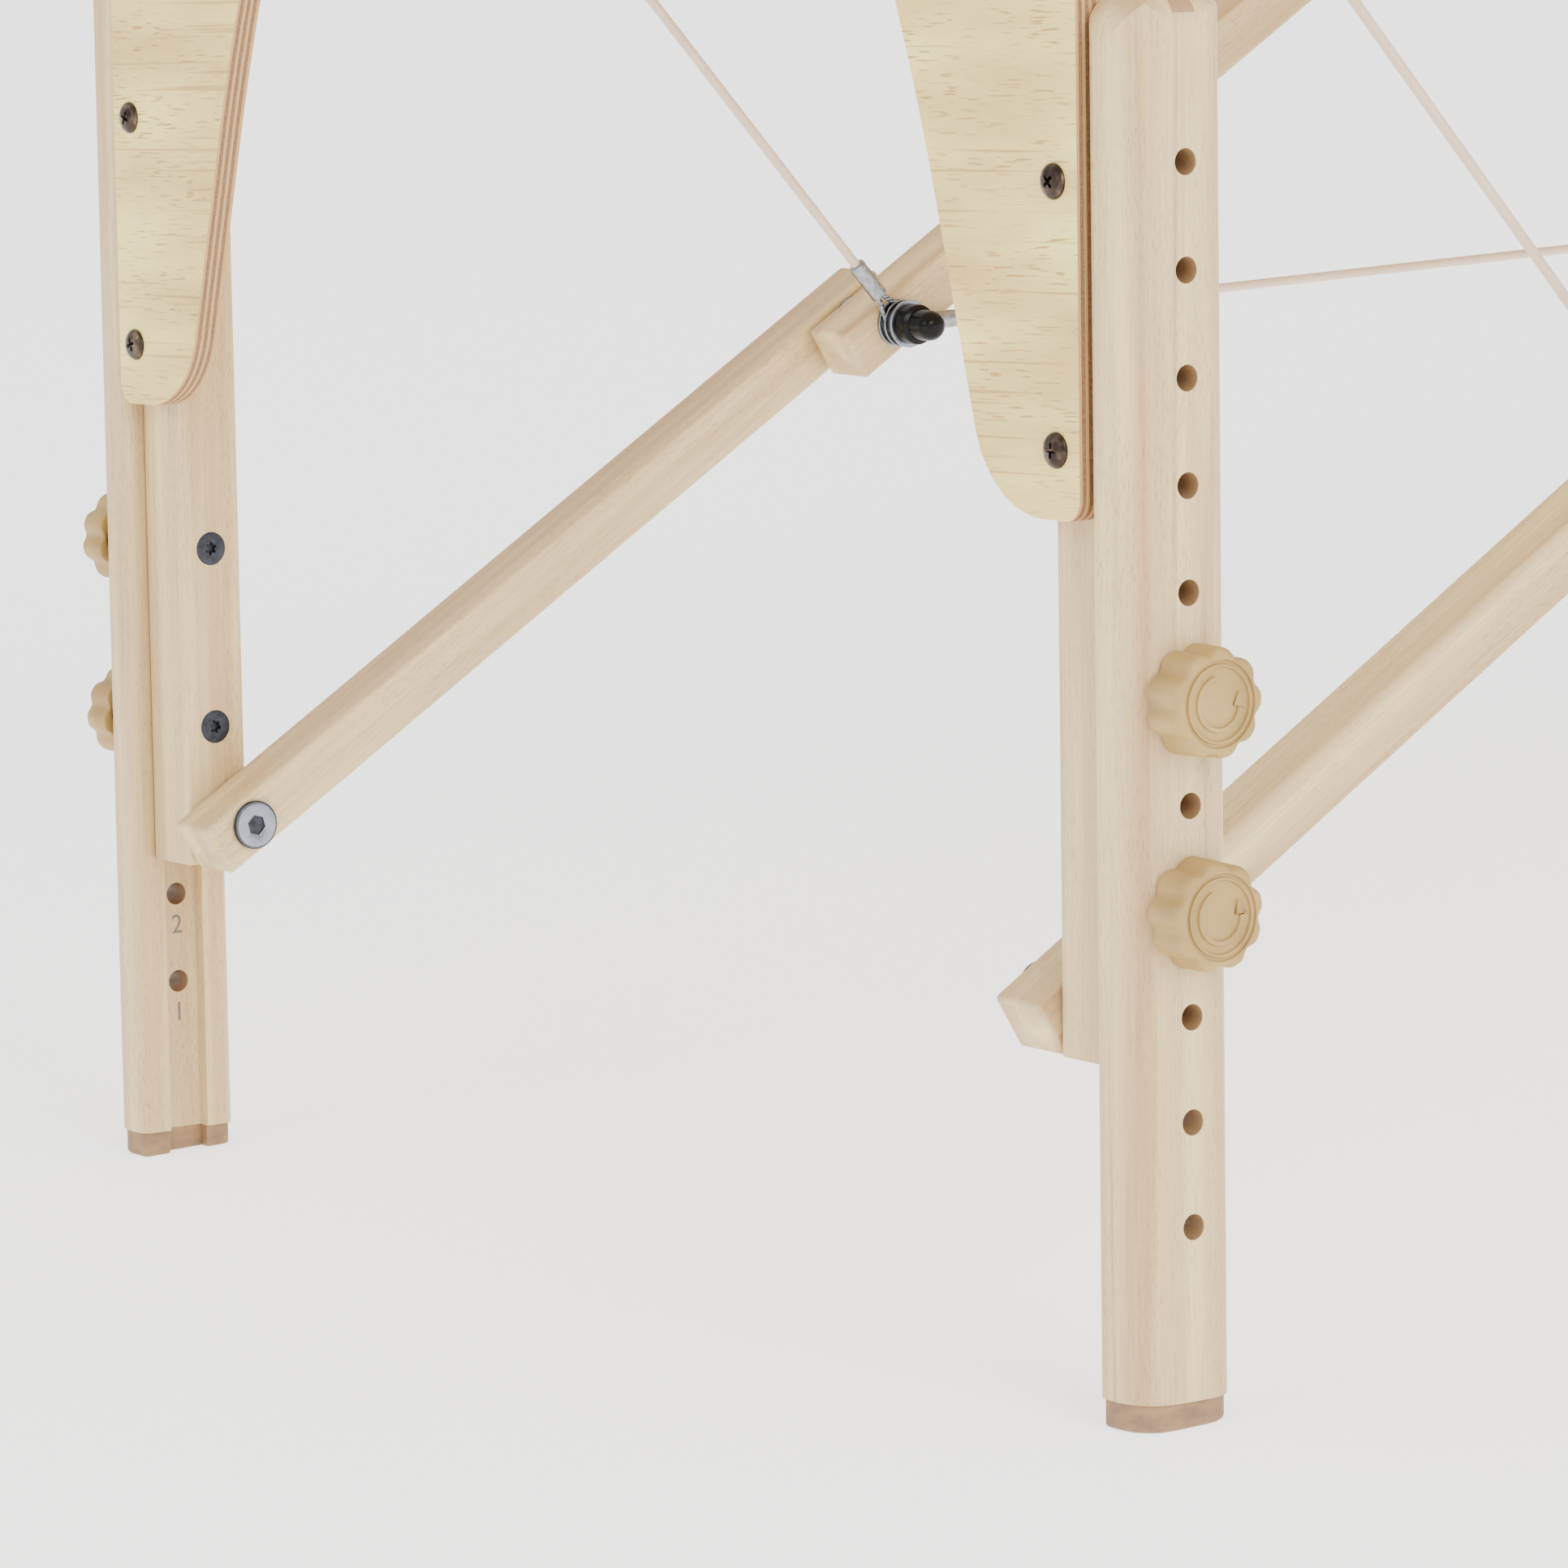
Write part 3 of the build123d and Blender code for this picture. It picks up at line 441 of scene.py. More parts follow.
for joint in frame["joints"]:
    if not joint["name"].endswith("_knob_turn"):
        continue
    corner = joint["name"][:-len("_knob_turn")]
    outwards = Vector(joint["axis"])
    centre = Vector(joint["pos_m"])
    centre.y = outwards.y * 301.9 * MM
    solids = [turned(knob_profile, 144)]
    for rib in range(9):
        bar = bmesh.new()
        bmesh.ops.create_cube(bar, size=1)
        bmesh.ops.transform(bar, verts=bar.verts, matrix=Matrix.Rotation(tau * (rib + 0.5) / 9, 4, "Z")
                            @ Matrix.Translation((9.8, 0, 3.6)) @ Matrix.Diagonal((6.4, 1.3, 4.9, 1)))
        bmesh.ops.bevel(bar, geom=bar.edges[:], offset=0.2, segments=2, affect="EDGES", profile=0.5, material=-1)
        solids.append(bar)
    # The arrow is a flat raised band, three quarters of a turn round, with a pointed head.
    arrow = bmesh.new()
    band = [arrow.verts.new((x, 0, z)) for x, z in ((7.0, 13.0), (7.2, 13.95), (8.4, 13.95), (8.6, 13.0))]
    start = arrow.faces.new(band)
    swept = bmesh.ops.spin(arrow, geom=[start, *start.edges, *start.verts], cent=(0, 0, 0), axis=(0, 0, 1),
                           angle=radians(250), steps=48)["geom_last"]
    tip = [g for g in swept if isinstance(g, bmesh.types.BMFace)]
    base = bmesh.ops.extrude_face_region(arrow, geom=tip)["geom"]
    flare = [g for g in base if isinstance(g, bmesh.types.BMVert)]
    for vert in flare:
        mid = vert.co.xy.normalized() * 7.8
        vert.co.xy = mid + (vert.co.xy - mid) * 3.2
    faces = [g for g in base if isinstance(g, bmesh.types.BMFace)]
    point = bmesh.ops.extrude_face_region(arrow, geom=faces)["geom"]
    ends = [g for g in point if isinstance(g, bmesh.types.BMVert)]
    spin = Matrix.Rotation(radians(32), 3, "Z")
    for vert in ends:
        mid = vert.co.xy.normalized() * 7.8
        vert.co.xy = mid + (vert.co.xy - mid) * 0.08
        vert.co = spin @ vert.co
    bmesh.ops.recalc_face_normals(arrow, faces=arrow.faces)
    solids.append(arrow)
    turn = tau / 9 * next(turns)
    knob = piece(corner + "_clamp_knob", [placed(s, centre, outwards, turn=turn) for s in solids],
                 plastic, corner + "_clamp")
    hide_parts(corner + "_knob")

# ---- Clamp bolts ----
# M6 countersunk screws with star sockets, black phosphate over steel. The head lies flush in the
# fixed leg's inner face, and the thread runs out through both legs into the knob.
phosphate, tree = blank("black phosphated steel")
place = along_grain(tree, (0, 0, 0))
cloud = stretched(tree, place, (2.4, 2.4, 2.4), Detail=4.0)
tone = node(tree, "ValToRGB", {0: cloud}, [(0.3, "#24262B"), (0.7, "#3C4048")])
rough = node(tree, "MapRange", {0: cloud, 3: 0.38, 4: 0.55})
bump = node(tree, "Bump", {"Strength": 0.15, "Distance": 0.0001, "Height": cloud})
shade(tree, {"Base Color": tone.outputs[0], "Metallic": 0.7, "Roughness": rough.outputs[0],
             "Normal": bump.outputs[0]})
star = lambda reach: lambda angle: reach + 0.42 * cos(6 * angle)
thread = [(3.15 - 0.28 * (i % 2), 33.0 + i * 0.5) for i in range(52)]
for half, way in HALVES.items():
    bolts = []
    for far in SIDES.values():
        for hole in (4, 6):
            spot = leg_point(way, 0, far * 253.0, first_hole + (hole - 1) * pitch)
            bolt = turned([(0, 1.9), (star(1.75), 1.8), (star(1.95), 0.12), (star(2.1), 0.0), (5.5, 0.0),
                           (5.88, 0.14), (5.86, 0.4), (3.15, 3.2), (3.15, 32.5), *thread, (2.5, 58.9), (0, 59.0)])
            bolts.append(placed(bolt, spot, (0, far, 0), turn=0.2 * hole))
    whole = piece(half + "_clamp_screws", bolts, phosphate, half + "_leg_frame")
    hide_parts(half + "_clamp_bolts")

# ---- Panel screws ----
# Wide-headed cross-recess screws in antique bronze plate, four to a panel. The plate is rubbed
# bright on the crown and stays dark in the recess and at the rim.
bronze, tree = blank("antique bronze plate")
place = along_grain(tree, (0, 0, 0))
rub = stretched(tree, place, (4.5, 4.5, 4.5), Detail=2.0, Roughness=0.5)
tone = node(tree, "ValToRGB", {0: rub}, [(0.35, "#2A221D"), (0.55, "#43382F"), (0.75, "#7A6856")])
rough = node(tree, "MapRange", {0: rub, 1: 0.3, 2: 0.7, 3: 0.36, 4: 0.27})
shade(tree, {"Base Color": tone.outputs[0], "Metallic": 0.9, "Roughness": rough.outputs[0]})


def cross(arm, width):
    def reach(angle):
        c, s = abs(cos(angle)) + 1e-6, abs(sin(angle)) + 1e-6
        return max(min(width / s, arm / c), min(width / c, arm / s))
    return reach


for half, way in HALVES.items():
    across, rise = leg_axes(way)
    screws = []
    for far in SIDES.values():
        for height in (293.0, 372.7):
            spot = leg_point(way, -21.0, far * 265.5, height)
            screw = turned([(0, 0.7), (cross(1.0, 0.35), 0.9), (cross(2.25, 0.5), 2.0), (cross(2.4, 0.6), 2.45),
                            (3.2, 2.32), (4.2, 1.9), (4.95, 1.35), (5.4, 0.7), (5.5, 0.3), (5.4, 0.0),
                            (1.9, 0.0), (1.9, -22.5), (0, -24.0)])
            screws.append(placed(screw, spot, -across, level=rise, turn=0.35 + far * 0.2 + height * 0.01))
    whole = piece(half + "_bronze_screws", screws, bronze, half + "_leg_frame")
    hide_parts(half + "_panel_screws")

# ---- Brace pivots ----
# Zinc-plated joint bolts with wide flat heads and hex sockets. A spacer washer keeps each lower
# brace clear of its leg, and the same bolts hold the legs and upper braces to the top.
zinc, tree = blank("bright zinc plate")
place = along_grain(tree, (0, 0, 0))
spangle = stretched(tree, place, (7, 7, 7), Detail=2.0, Roughness=0.5)
tone = node(tree, "ValToRGB", {0: spangle}, [(0.3, "#7E848F"), (0.55, "#8C919B"), (0.75, "#9CA0A8")])
rough = node(tree, "MapRange", {0: spangle, 1: 0.3, 2: 0.7, 3: 0.24, 4: 0.40})
scratch = stretched(tree, place, (5, 0.3, 0.3), Detail=2.0)
bump = node(tree, "Bump", {"Strength": 0.08, "Distance": 0.0001, "Height": scratch})
shade(tree, {"Base Color": tone.outputs[0], "Metallic": 1.0, "Roughness": rough.outputs[0],
             "Normal": bump.outputs[0]})
hexed = lambda reach: lambda angle: reach / cos((angle + pi / 6) % (pi / 3) - pi / 6)
socket_head = [(0, 2.1), (hexed(3.0), 2.05), (hexed(3.2), 0.3), (3.9, 0.1), (7.4, 0.0),
               (8.2, 0.22), (8.5, 0.7), (8.45, 1.9), (8.2, 2.2), (4.0, 2.2)]


def washer(inner, outer, thick, start=0.0):
    """A stamped ring with slightly rounded rims."""
    edge = min(0.25, thick / 4)
    return turned([(inner, start + edge), (inner + edge, start), (outer - edge, start), (outer, start + edge),
                   (outer, start + thick - edge), (outer - edge, start + thick), (inner + edge, start + thick),
                   (inner, start + thick - edge), (inner, start + edge)])


knee_length = 311.31
for half, way in HALVES.items():
    pivots = []
    for far in SIDES.values():
        spot = leg_point(way, 0, far * 226.5, 124.26)
        pivots.append(placed(turned([*socket_head, (4.0, 44.0), (0, 44.0)]), spot, (0, far, 0), turn=0.3))
        pivots.append(placed(washer(4.05, 8.5, 1.7), leg_point(way, 0, far * 251.3, 124.26), (0, far, 0)))
    whole = piece(half + "_pivot_screws", pivots, zinc, half + "_leg_frame")
    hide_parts(half + "_pivot_bolts")
    # Painted shade and a painted dark reflection: dark phosphate fills sit in the socket, where shade falls, and as
    # a ring in the turned groove at the rim, standing in for the dark reflection of its bevel.
    painted_shade_fills = []
    for far in SIDES.values():
        spot = leg_point(way, 0, far * 226.5, 124.26)
        painted_shade_fills.append(placed(turned([(0, 0.7), (hexed(3.05), 0.7), (hexed(3.05), 2.0), (0, 2.0)]), spot,
                             (0, far, 0), turn=0.3))
        painted_shade_fills.append(placed(turned([(7.8, 0.3), (7.8, 0.05), (8.45, 0.35), (8.6, 0.75), (8.6, 1.7), (8.4, 1.7),
                                     (8.3, 0.9), (7.8, 0.3)]), spot, (0, far, 0)))
    piece(half + "_pivot_painted_shade", painted_shade_fills, phosphate, half + "_leg_frame")
    for name in ("hinge_bolts", "leg_brackets"):
        dress(half + "_" + name, zinc)

# ---- Knees ----
# A countersunk bolt through the lower brace carries a spacer, the upper brace, three zinc washers
# with the cable loops between them, and a black rubber cap pushed on the end.
black, tree = blank("moulded black rubber")
place = along_grain(tree, (0, 0, 0))
cloud = stretched(tree, place, (3, 3, 3), Detail=4.0)
tone = node(tree, "ValToRGB", {0: cloud}, [(0.3, "#050506"), (0.7, "#0B0C0D")])
rough = node(tree, "MapRange", {0: cloud, 3: 0.20, 4: 0.28})
bump = node(tree, "Bump", {"Strength": 0.06, "Distance": 0.0001, "Height": cloud})
shade(tree, {"Base Color": tone.outputs[0], "Roughness": rough.outputs[0], "Normal": bump.outputs[0],
             "IOR": 1.52, "Specular IOR Level": 0.14})


def knee_point(way, y):
    reach = knee_length
    return Vector((way * (897.0 - reach * cos(brace_angle)), y, 124.2 + reach * sin(brace_angle))) * MM


for half, way in HALVES.items():
    lower, studs, caps = [], [], []
    for far in SIDES.values():
        inwards = (0, -far, 0)
        bolt = turned([(0, 1.9), (hexed(2.3), 1.85), (hexed(2.5), 0.2), (7.6, 0.0), (8.1, 0.25), (8.1, 2.9),
                       (7.8, 3.2), (4.0, 3.2), (4.0, 25.5), (0, 25.5)])
        lower.append(placed(bolt, knee_point(way, far * 251.0), inwards))
        lower.append(placed(washer(4.05, 8.6, 3.4), knee_point(way, far * 228.9), inwards))
        studs.append(placed(turned([(0, 0), (4.0, 0), (4.0, 38.4), (3.6, 39), (0, 39)]),
                            knee_point(way, far * 225.0), inwards))
        for outer, inner in ((203.0, 201.5), (198.95, 198.05), (195.55, 194.2)):
            studs.append(placed(washer(4.05, 8.7, outer - inner), knee_point(way, far * outer), inwards))
        cap = turned([(4.1, 7.9), (4.1, 0.3), (4.4, 0.05), (6.8, 0.0), (7.4, 0.5), (7.45, 4.6), (7.2, 5.4),
                      (6.5, 5.8), (5.75, 6.1), (5.6, 6.7), (5.6, 12.0), (5.3, 13.6), (4.6, 15.0), (3.5, 16.1),
                      (1.9, 16.6), (0, 16.7)])
        caps.append(placed(cap, knee_point(way, far * 194.2), inwards))
    whole = piece(half + "_knee_screws", lower, zinc, half + "_lower_brace_pair")
    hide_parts(half + "_knee_bolts")
    whole = piece(half + "_knee_washers", studs, zinc, half + "_upper_brace_pair")
    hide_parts(half + "_knee_studs")
    whole = piece(half + "_knee_end_caps", caps, black, half + "_upper_brace_pair")
    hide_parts(half + "_knee_caps")

# ---- Cables ----
# Galvanised wire rope in a beige vinyl coat, 3.5 mm over the coat, pulled tight. At each end the
# coat is cut back, and an oval aluminium ferrule crimps the bare rope into a loop.
coat, tree = blank("beige vinyl cable coat")
place = along_grain(tree, (0, 0, 0))
cloud = stretched(tree, place, (25, 25, 25), Detail=2.0)
tone = node(tree, "ValToRGB", {0: cloud}, [(0.3, "#D8C2AC"), (0.7, "#CFB8A0")])
along = node(tree, "UVMap", uv_map="length").outputs[0]
lay = node(tree, "TexWave", {"Vector": along, "Scale": 1.0, "Distortion": 0.0})
bump = node(tree, "Bump", {"Strength": 0.12, "Distance": 0.0002, "Height": lay.outputs[1]})
shade(tree, {"Base Color": tone.outputs[0], "Roughness": 0.42, "Normal": bump.outputs[0], "IOR": 1.53,
             "Coat Weight": 0.3, "Coat Roughness": 0.2})
rope, tree = blank("galvanised wire rope")
place = along_grain(tree, (0, 0, 0))
cloud = stretched(tree, place, (1.1, 1.1, 1.1), Detail=3.0)
tone = node(tree, "ValToRGB", {0: cloud}, [(0.3, "#6C6E74"), (0.7, "#A6A8AE")])
rough = node(tree, "MapRange", {0: cloud, 3: 0.25, 4: 0.42})
shade(tree, {"Base Color": tone.outputs[0], "Metallic": 1.0, "Roughness": rough.outputs[0]})
crimp, tree = blank("pressed aluminium")
place = along_grain(tree, (0, 0, 0))
cloud = stretched(tree, place, (2.2, 2.2, 2.2), Detail=4.0)
tone = node(tree, "ValToRGB", {0: cloud}, [(0.3, "#7C7E84"), (0.7, "#A2A4A9")])
rough = node(tree, "MapRange", {0: cloud, 3: 0.26, 4: 0.45})
bump = node(tree, "Bump", {"Strength": 0.08, "Distance": 0.0002, "Height": cloud})
shade(tree, {"Base Color": tone.outputs[0], "Metallic": 1.0, "Roughness": rough.outputs[0],
             "Normal": bump.outputs[0]})


def strand(points, radius, closed=False, sides=2):
    """A round wire through points in metres, as a bmesh."""
    path = bpy.data.curves.new("wire", "CURVE")
    path.dimensions, path.bevel_depth, path.bevel_resolution = "3D", radius * MM, sides
    path.use_fill_caps = True
    spline = path.splines.new("POLY")
    spline.points.add(len(points) - 1)
    for target, point in zip(spline.points, points):
        target.co = (*point, 1)
    spline.use_cyclic_u = closed
    holder = bpy.data.objects.new("wire", path)
    mesh = bpy.data.meshes.new_from_object(holder)
    bpy.data.objects.remove(holder)
    made = bmesh.new()
    made.from_mesh(mesh)
    return made


def wire_loop(centre, towards, ring=5.45):
    """Two twisted strands from a ferrule's mouth round a stud and back, in the plane of the cable."""
    side = towards.cross(Vector((0, 1, 0)))
    mouth = 14.2
    alpha = atan2(sqrt(mouth ** 2 - ring ** 2), ring)
    path = [towards * mouth + side * 0.9]
    steps = 44
    for step in range(steps + 1):
        angle = alpha + (tau - 2 * alpha) * step / steps
        path.append(towards * ring * cos(angle) + side * ring * sin(angle))
    path.append(towards * mouth - side * 0.9)
    fine = []
    for a, b in zip(path, path[1:]):
        cuts = max(1, round((b - a).length / 0.8))
        fine += [a.lerp(b, i / cuts) for i in range(cuts)]
    fine.append(path[-1])
    made, gone = [], 0.0
    tracks = [[], [], []]
    for i, point in enumerate(fine):
        before, after = fine[max(i - 1, 0)], fine[min(i + 1, len(fine) - 1)]
        ahead = (after - before).normalized()
        out = ahead.cross(Vector((0, 1, 0)))
        gone += (point - before).length
        for k, track in enumerate(tracks):
            twist = tau * (gone / 6.0 + k / 3)
            offset = out * cos(twist) * 0.52 + Vector((0, 1, 0)) * sin(twist) * 0.52
            track.append(centre + (point + offset) * MM)
    return [strand(track, 0.6) for track in tracks]


def ferrule(centre, towards):
    """An oval sleeve pressed in three bites, from 14 to 30 mm out."""
    bites = [(2.75, 14.0), (3.15, 14.3), (3.3, 15.2)]
    for bite in range(3):
        mid = 17.6 + bite * 4.4
        bites += [(3.3, mid - 1.6), (3.17, mid - 0.9), (3.17, mid + 0.9), (3.3, mid + 1.6)]
    bites += [(3.3, 28.8), (3.15, 29.7), (2.75, 30.0), (1.6, 30.0)]
    made = turned([(0, 14.4), (1.2, 14.3), *bites, (0, 29.6)], 48)
    bmesh.ops.scale(made, vec=(1, 0.82, 1), verts=made.verts)
    return placed(made, centre, towards, level=towards.cross(Vector((0, 1, 0))))


def coated(start, end, cuts=40):
    """The coated rope between two ferrules, with a map of its length and girth in millimetres."""
    made = bmesh.new()
    way = (end - start).normalized()
    length = (end - start).length
    bmesh.ops.create_circle(made, segments=16, radius=1.75 * MM)
    around = Vector((0, 1, 0)).cross(way)
    turn = Matrix((around, Vector((0, 1, 0)), way)).transposed().to_4x4()
    bmesh.ops.transform(made, verts=made.verts, matrix=Matrix.Translation(start) @ turn)
    edges = made.edges[:]
    for step in range(cuts):
        grown = bmesh.ops.extrude_edge_only(made, edges=edges)["geom"]
        edges = [g for g in grown if isinstance(g, bmesh.types.BMEdge)]
        verts = [g for g in grown if isinstance(g, bmesh.types.BMVert)]
        bmesh.ops.translate(made, verts=verts, vec=way * length / cuts)
    bmesh.ops.recalc_face_normals(made, faces=made.faces)
    lay_map = made.loops.layers.uv.new("length")
    for face in made.faces:
        angles = []
        for loop in face.loops:
            at = loop.vert.co - start
            angles.append(atan2(at.y, at.dot(around)) / tau)
        for loop, angle in zip(face.loops, angles):
            if angle < max(angles) - 0.5:
                angle += 1
            gone = (loop.vert.co - start).dot(way) / MM
            loop[lay_map].uv = (gone / 40 + angle, angle)
    return made


for half, way in HALVES.items():
    eye = Vector((way * 891.4, 0, 595.0)) * MM
    knee = knee_point(way, 0)
    stay_way = (eye - knee).normalized()
    knee_metal, eye_metal, knee_wire, eye_wire, stays, links = [], [], [], [], [], []
    for far in SIDES.values():
        stay_at = Vector((0, far * 200.2 * MM, 0))
        link_at = Vector((0, far * 196.8 * MM, 0))
        knee_metal.append(ferrule(knee + stay_at, stay_way))
        knee_wire += wire_loop(knee + stay_at, stay_way)
        eye_metal.append(ferrule(eye + stay_at, -stay_way))
        eye_wire += wire_loop(eye + stay_at, -stay_way)
        stays.append(coated(knee + stay_at + stay_way * 29 * MM, eye + stay_at - stay_way * 29 * MM))
        inwards = Vector((-way, 0, 0))
        knee_metal.append(ferrule(knee + link_at, inwards))
        knee_wire += wire_loop(knee + link_at, inwards)
        begin = knee + link_at + inwards * 29 * MM
        links.append(coated(begin, Vector((0, begin.y, begin.z)), 60))
    upper, top_half = half + "_upper_brace_pair", half + "_half"
    piece(half + "_knee_ferrules", knee_metal, crimp, upper)
    piece(half + "_knee_loops", knee_wire, rope, upper, 60)
    piece(half + "_eye_ferrules", eye_metal, crimp, top_half)
    piece(half + "_eye_loops", eye_wire, rope, top_half, 60)
    stay = bpy.data.objects.new(half + "_stay_ropes", bpy.data.meshes.new(half + "_stay_ropes"))
    joined = bmesh.new()
    for one in stays:
        one.to_mesh(stay.data)
        joined.from_mesh(stay.data)
    for face in joined.faces:
        face.smooth = True
    joined.to_mesh(stay.data)
    stay.data.materials.append(coat)
    bpy.context.scene.collection.objects.link(stay)
    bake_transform(stay)
    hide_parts(half + "_stay_cables")
    link = piece(half + "_link_ropes", links, coat, upper)
    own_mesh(link)
    if half == "head":
        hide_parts("link_cables")

# ---- Cable eyes, middle hinges and their pins ----
# Zinc-plated screw eyes in the end rails, and three folded steel hinges under the middle rails
# on headed pins.
for half in HALVES:
    dress(half + "_cable_eyes", zinc)
    dress(half + "_hinge_leaves", zinc)
dress("hinge_pins", zinc)
# ---- Pads ----
# Two foam pads under soft cream vinyl with a fine pressed grain, drawn tight over the edges of the
# deck, so that the top is a little crowned. A covered welt runs round just under the top edge.
vinyl, tree = blank("cream upholstery vinyl")
place = along_grain(tree, (0, 0, 0))
# The pressed grain has cells of about 0.7 mm, drawn at 1.6 mm so that it shows.
cells = stretched(tree, place, (1.6, 1.6, 1.6), "TexVoronoi", Randomness=1.0)
crease = stretched(tree, place, (14, 14, 14), Detail=4.0, Distortion=0.6)
cloud = stretched(tree, place, (160, 160, 60), Detail=3.0)
tone = node(tree, "ValToRGB", {0: cloud}, [(0.3, "#ECE3D1"), (0.7, "#E4D9C4")])
valley = node(tree, "MapRange", {0: cells, 1: 0.5, 2: 0.85, 3: 0.0, 4: 0.35})
colour = node(tree, "Mix", {0: valley.outputs[0], 6: tone.outputs[0], 7: srgb("#CBBDA3")}, data_type="RGBA")
relief = node(tree, "Math", {0: crease, 1: 1.6, 2: cells}, operation="MULTIPLY_ADD")
bump = node(tree, "Bump", {"Strength": 0.3, "Distance": 0.0004, "Height": relief.outputs[0]})
rough = node(tree, "MapRange", {0: cells, 3: 0.50, 4: 0.36})
shade(tree, {"Base Color": colour.outputs[2], "Roughness": rough.outputs[0], "Normal": bump.outputs[0],
             "IOR": 1.5, "Sheen Weight": 0.08, "Coat Weight": 0.1, "Coat Roughness": 0.35})

low, high = (Vector(corner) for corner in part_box("head_pad"))
slack, corner_round, cap_move = 7 * MM, 52 * MM, 9 * MM
foam = bmesh.new()
bmesh.ops.create_cube(foam, size=1)
size = high - low - Vector((slack, 2 * slack, slack))
centre = Vector(((low.x + slack + high.x) / 2, 0, (low.z + high.z - slack) / 2))
bmesh.ops.transform(foam, verts=foam.verts, matrix=Matrix.Translation(centre) @ Matrix.Diagonal((*size, 1)))
corners = [e for e in foam.edges if abs(e.verts[0].co.z - e.verts[1].co.z) > 0.01 and e.verts[0].co.x < centre.x]
bmesh.ops.bevel(foam, geom=corners, offset=corner_round, segments=10, affect="EDGES", profile=0.5, material=-1)
rims = [e for e in foam.edges if abs(e.verts[0].co.z - e.verts[1].co.z) < 1e-6]
bmesh.ops.bevel(foam, geom=rims, offset=9 * MM, segments=4, affect="EDGES", profile=0.5, material=-1)
pads = {"head": bpy.data.objects.new("head_cushion", bpy.data.meshes.new("head_cushion"))}
foam.to_mesh(pads["head"].data)
foam.free()
bpy.context.scene.collection.objects.link(pads["head"])


def settle(soft, modifier):
    """Replaces a piece's mesh with what the modifier makes of it, and takes the modifier away."""
    bpy.context.view_layer.update()
    shown = soft.evaluated_get(bpy.context.evaluated_depsgraph_get())
    mesh = bpy.data.meshes.new_from_object(shown)
    soft.modifiers.remove(modifier)
    soft.data = mesh


remesh = pads["head"].modifiers.new("cut", "REMESH")
remesh.mode, remesh.voxel_size, remesh.use_smooth_shade = "VOXEL", 8 * MM, True
settle(pads["head"], remesh)
rest = [vert.co.copy() for vert in pads["head"].data.vertices]
cloth = pads["head"].modifiers.new("stuffing", "CLOTH")
cloth.settings.quality, cloth.settings.mass = 6, 0.4
cloth.settings.use_pressure, cloth.settings.uniform_pressure_force = True, 4.0
cloth.settings.effector_weights.gravity = 0
cloth.settings.tension_stiffness = cloth.settings.compression_stiffness = 20
for step in range(1, 21):
    bpy.context.scene.frame_set(step)
settle(pads["head"], cloth)
bpy.context.scene.frame_set(1)
for vert, start in zip(pads["head"].data.vertices, rest):
    moved = vert.co - start
    if moved.length > cap_move:
        moved *= cap_move / moved.length
    vert.co = start + moved
for vert in pads["head"].data.vertices:
    # The deck below and the other pad at the middle hold the foam flat.
    vert.co.z = max(vert.co.z, low.z)
    vert.co.x = min(vert.co.x, high.x)
# The settled foam draws in at the sides, so the cover is pulled back out to the pad's full size.
for axis in range(3):
    reach = [vert.co[axis] for vert in pads["head"].data.vertices]
    least, most = min(reach), max(reach)
    for vert in pads["head"].data.vertices:
        part = (vert.co[axis] - least) / (most - least)
        vert.co[axis] = low[axis] + part * (high[axis] - low[axis])
finer = pads["head"].modifiers.new("skin", "SUBSURF")
finer.levels = finer.render_levels = 1
settle(pads["head"], finer)
skin = bmesh.new()
skin.from_mesh(pads["head"].data)
for face in skin.faces:
    face.smooth = True
from mathutils.bvhtree import BVHTree
surface = BVHTree.FromBMesh(skin)
outline, seam_height = [], high.z - 15 * MM
arc = [(low.x + 55 * MM * (1 - cos(a)), sin(a)) for a in [i * pi / 24 for i in range(13)]]
half_y = high.y
for x in [high.x - 3 * MM - i * 20 * MM for i in range(43)]:
    outline.append((x, -half_y))
for x, lift in reversed(arc):
    outline.append((x, -half_y + 55 * MM * (1 - lift)))
for y in [-half_y + 75 * MM + i * 20 * MM for i in range(31)]:
    outline.append((low.x, y))
outline += [(x, -y) for x, y in reversed(outline) if y < -half_y + 56 * MM]
welt_path = []
for x, y in outline:
    found = surface.find_nearest(Vector((x, y, seam_height)))[0]
    if not welt_path or (found - welt_path[-1]).length > 4 * MM:
        welt_path.append(found)
for half, way in HALVES.items():
    if half == "foot":
        pads[half] = bpy.data.objects.new("foot_cushion", bpy.data.meshes.new("foot_cushion"))
        bpy.context.scene.collection.objects.link(pads[half])
        bmesh.ops.scale(skin, vec=(-1, 1, 1), verts=skin.verts)
        bmesh.ops.reverse_faces(skin, faces=skin.faces)
    skin.to_mesh(pads[half].data)
    pads[half].data.materials.clear()
    pads[half].data.materials.append(vinyl)
    welt = strand([(p.x * -way, p.y, p.z) for p in welt_path], 2.0, sides=3)
    bmesh.ops.recalc_face_normals(welt, faces=welt.faces)
    piece(half + "_pad_welt", [welt], vinyl, half + "_half", 180)
    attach(pads[half], half + "_half")
    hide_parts(half + "_pad")

# ---- Carrying handles ----
# Padded grips of beige webbing on the front rail, one on each half, for carrying the closed case.
# Each end is folded flat, box-stitched and held by two zinc pan screws.
webbing, tree = blank("beige nylon webbing")
along = node(tree, "UVMap", uv_map="weave").outputs[0]
warp = node(tree, "TexWave", {"Vector": along, "Scale": 0.209, "Distortion": 0.4}, bands_direction="X")
weft = node(tree, "TexWave", {"Vector": along, "Scale": 0.209, "Distortion": 0.4}, bands_direction="Y")
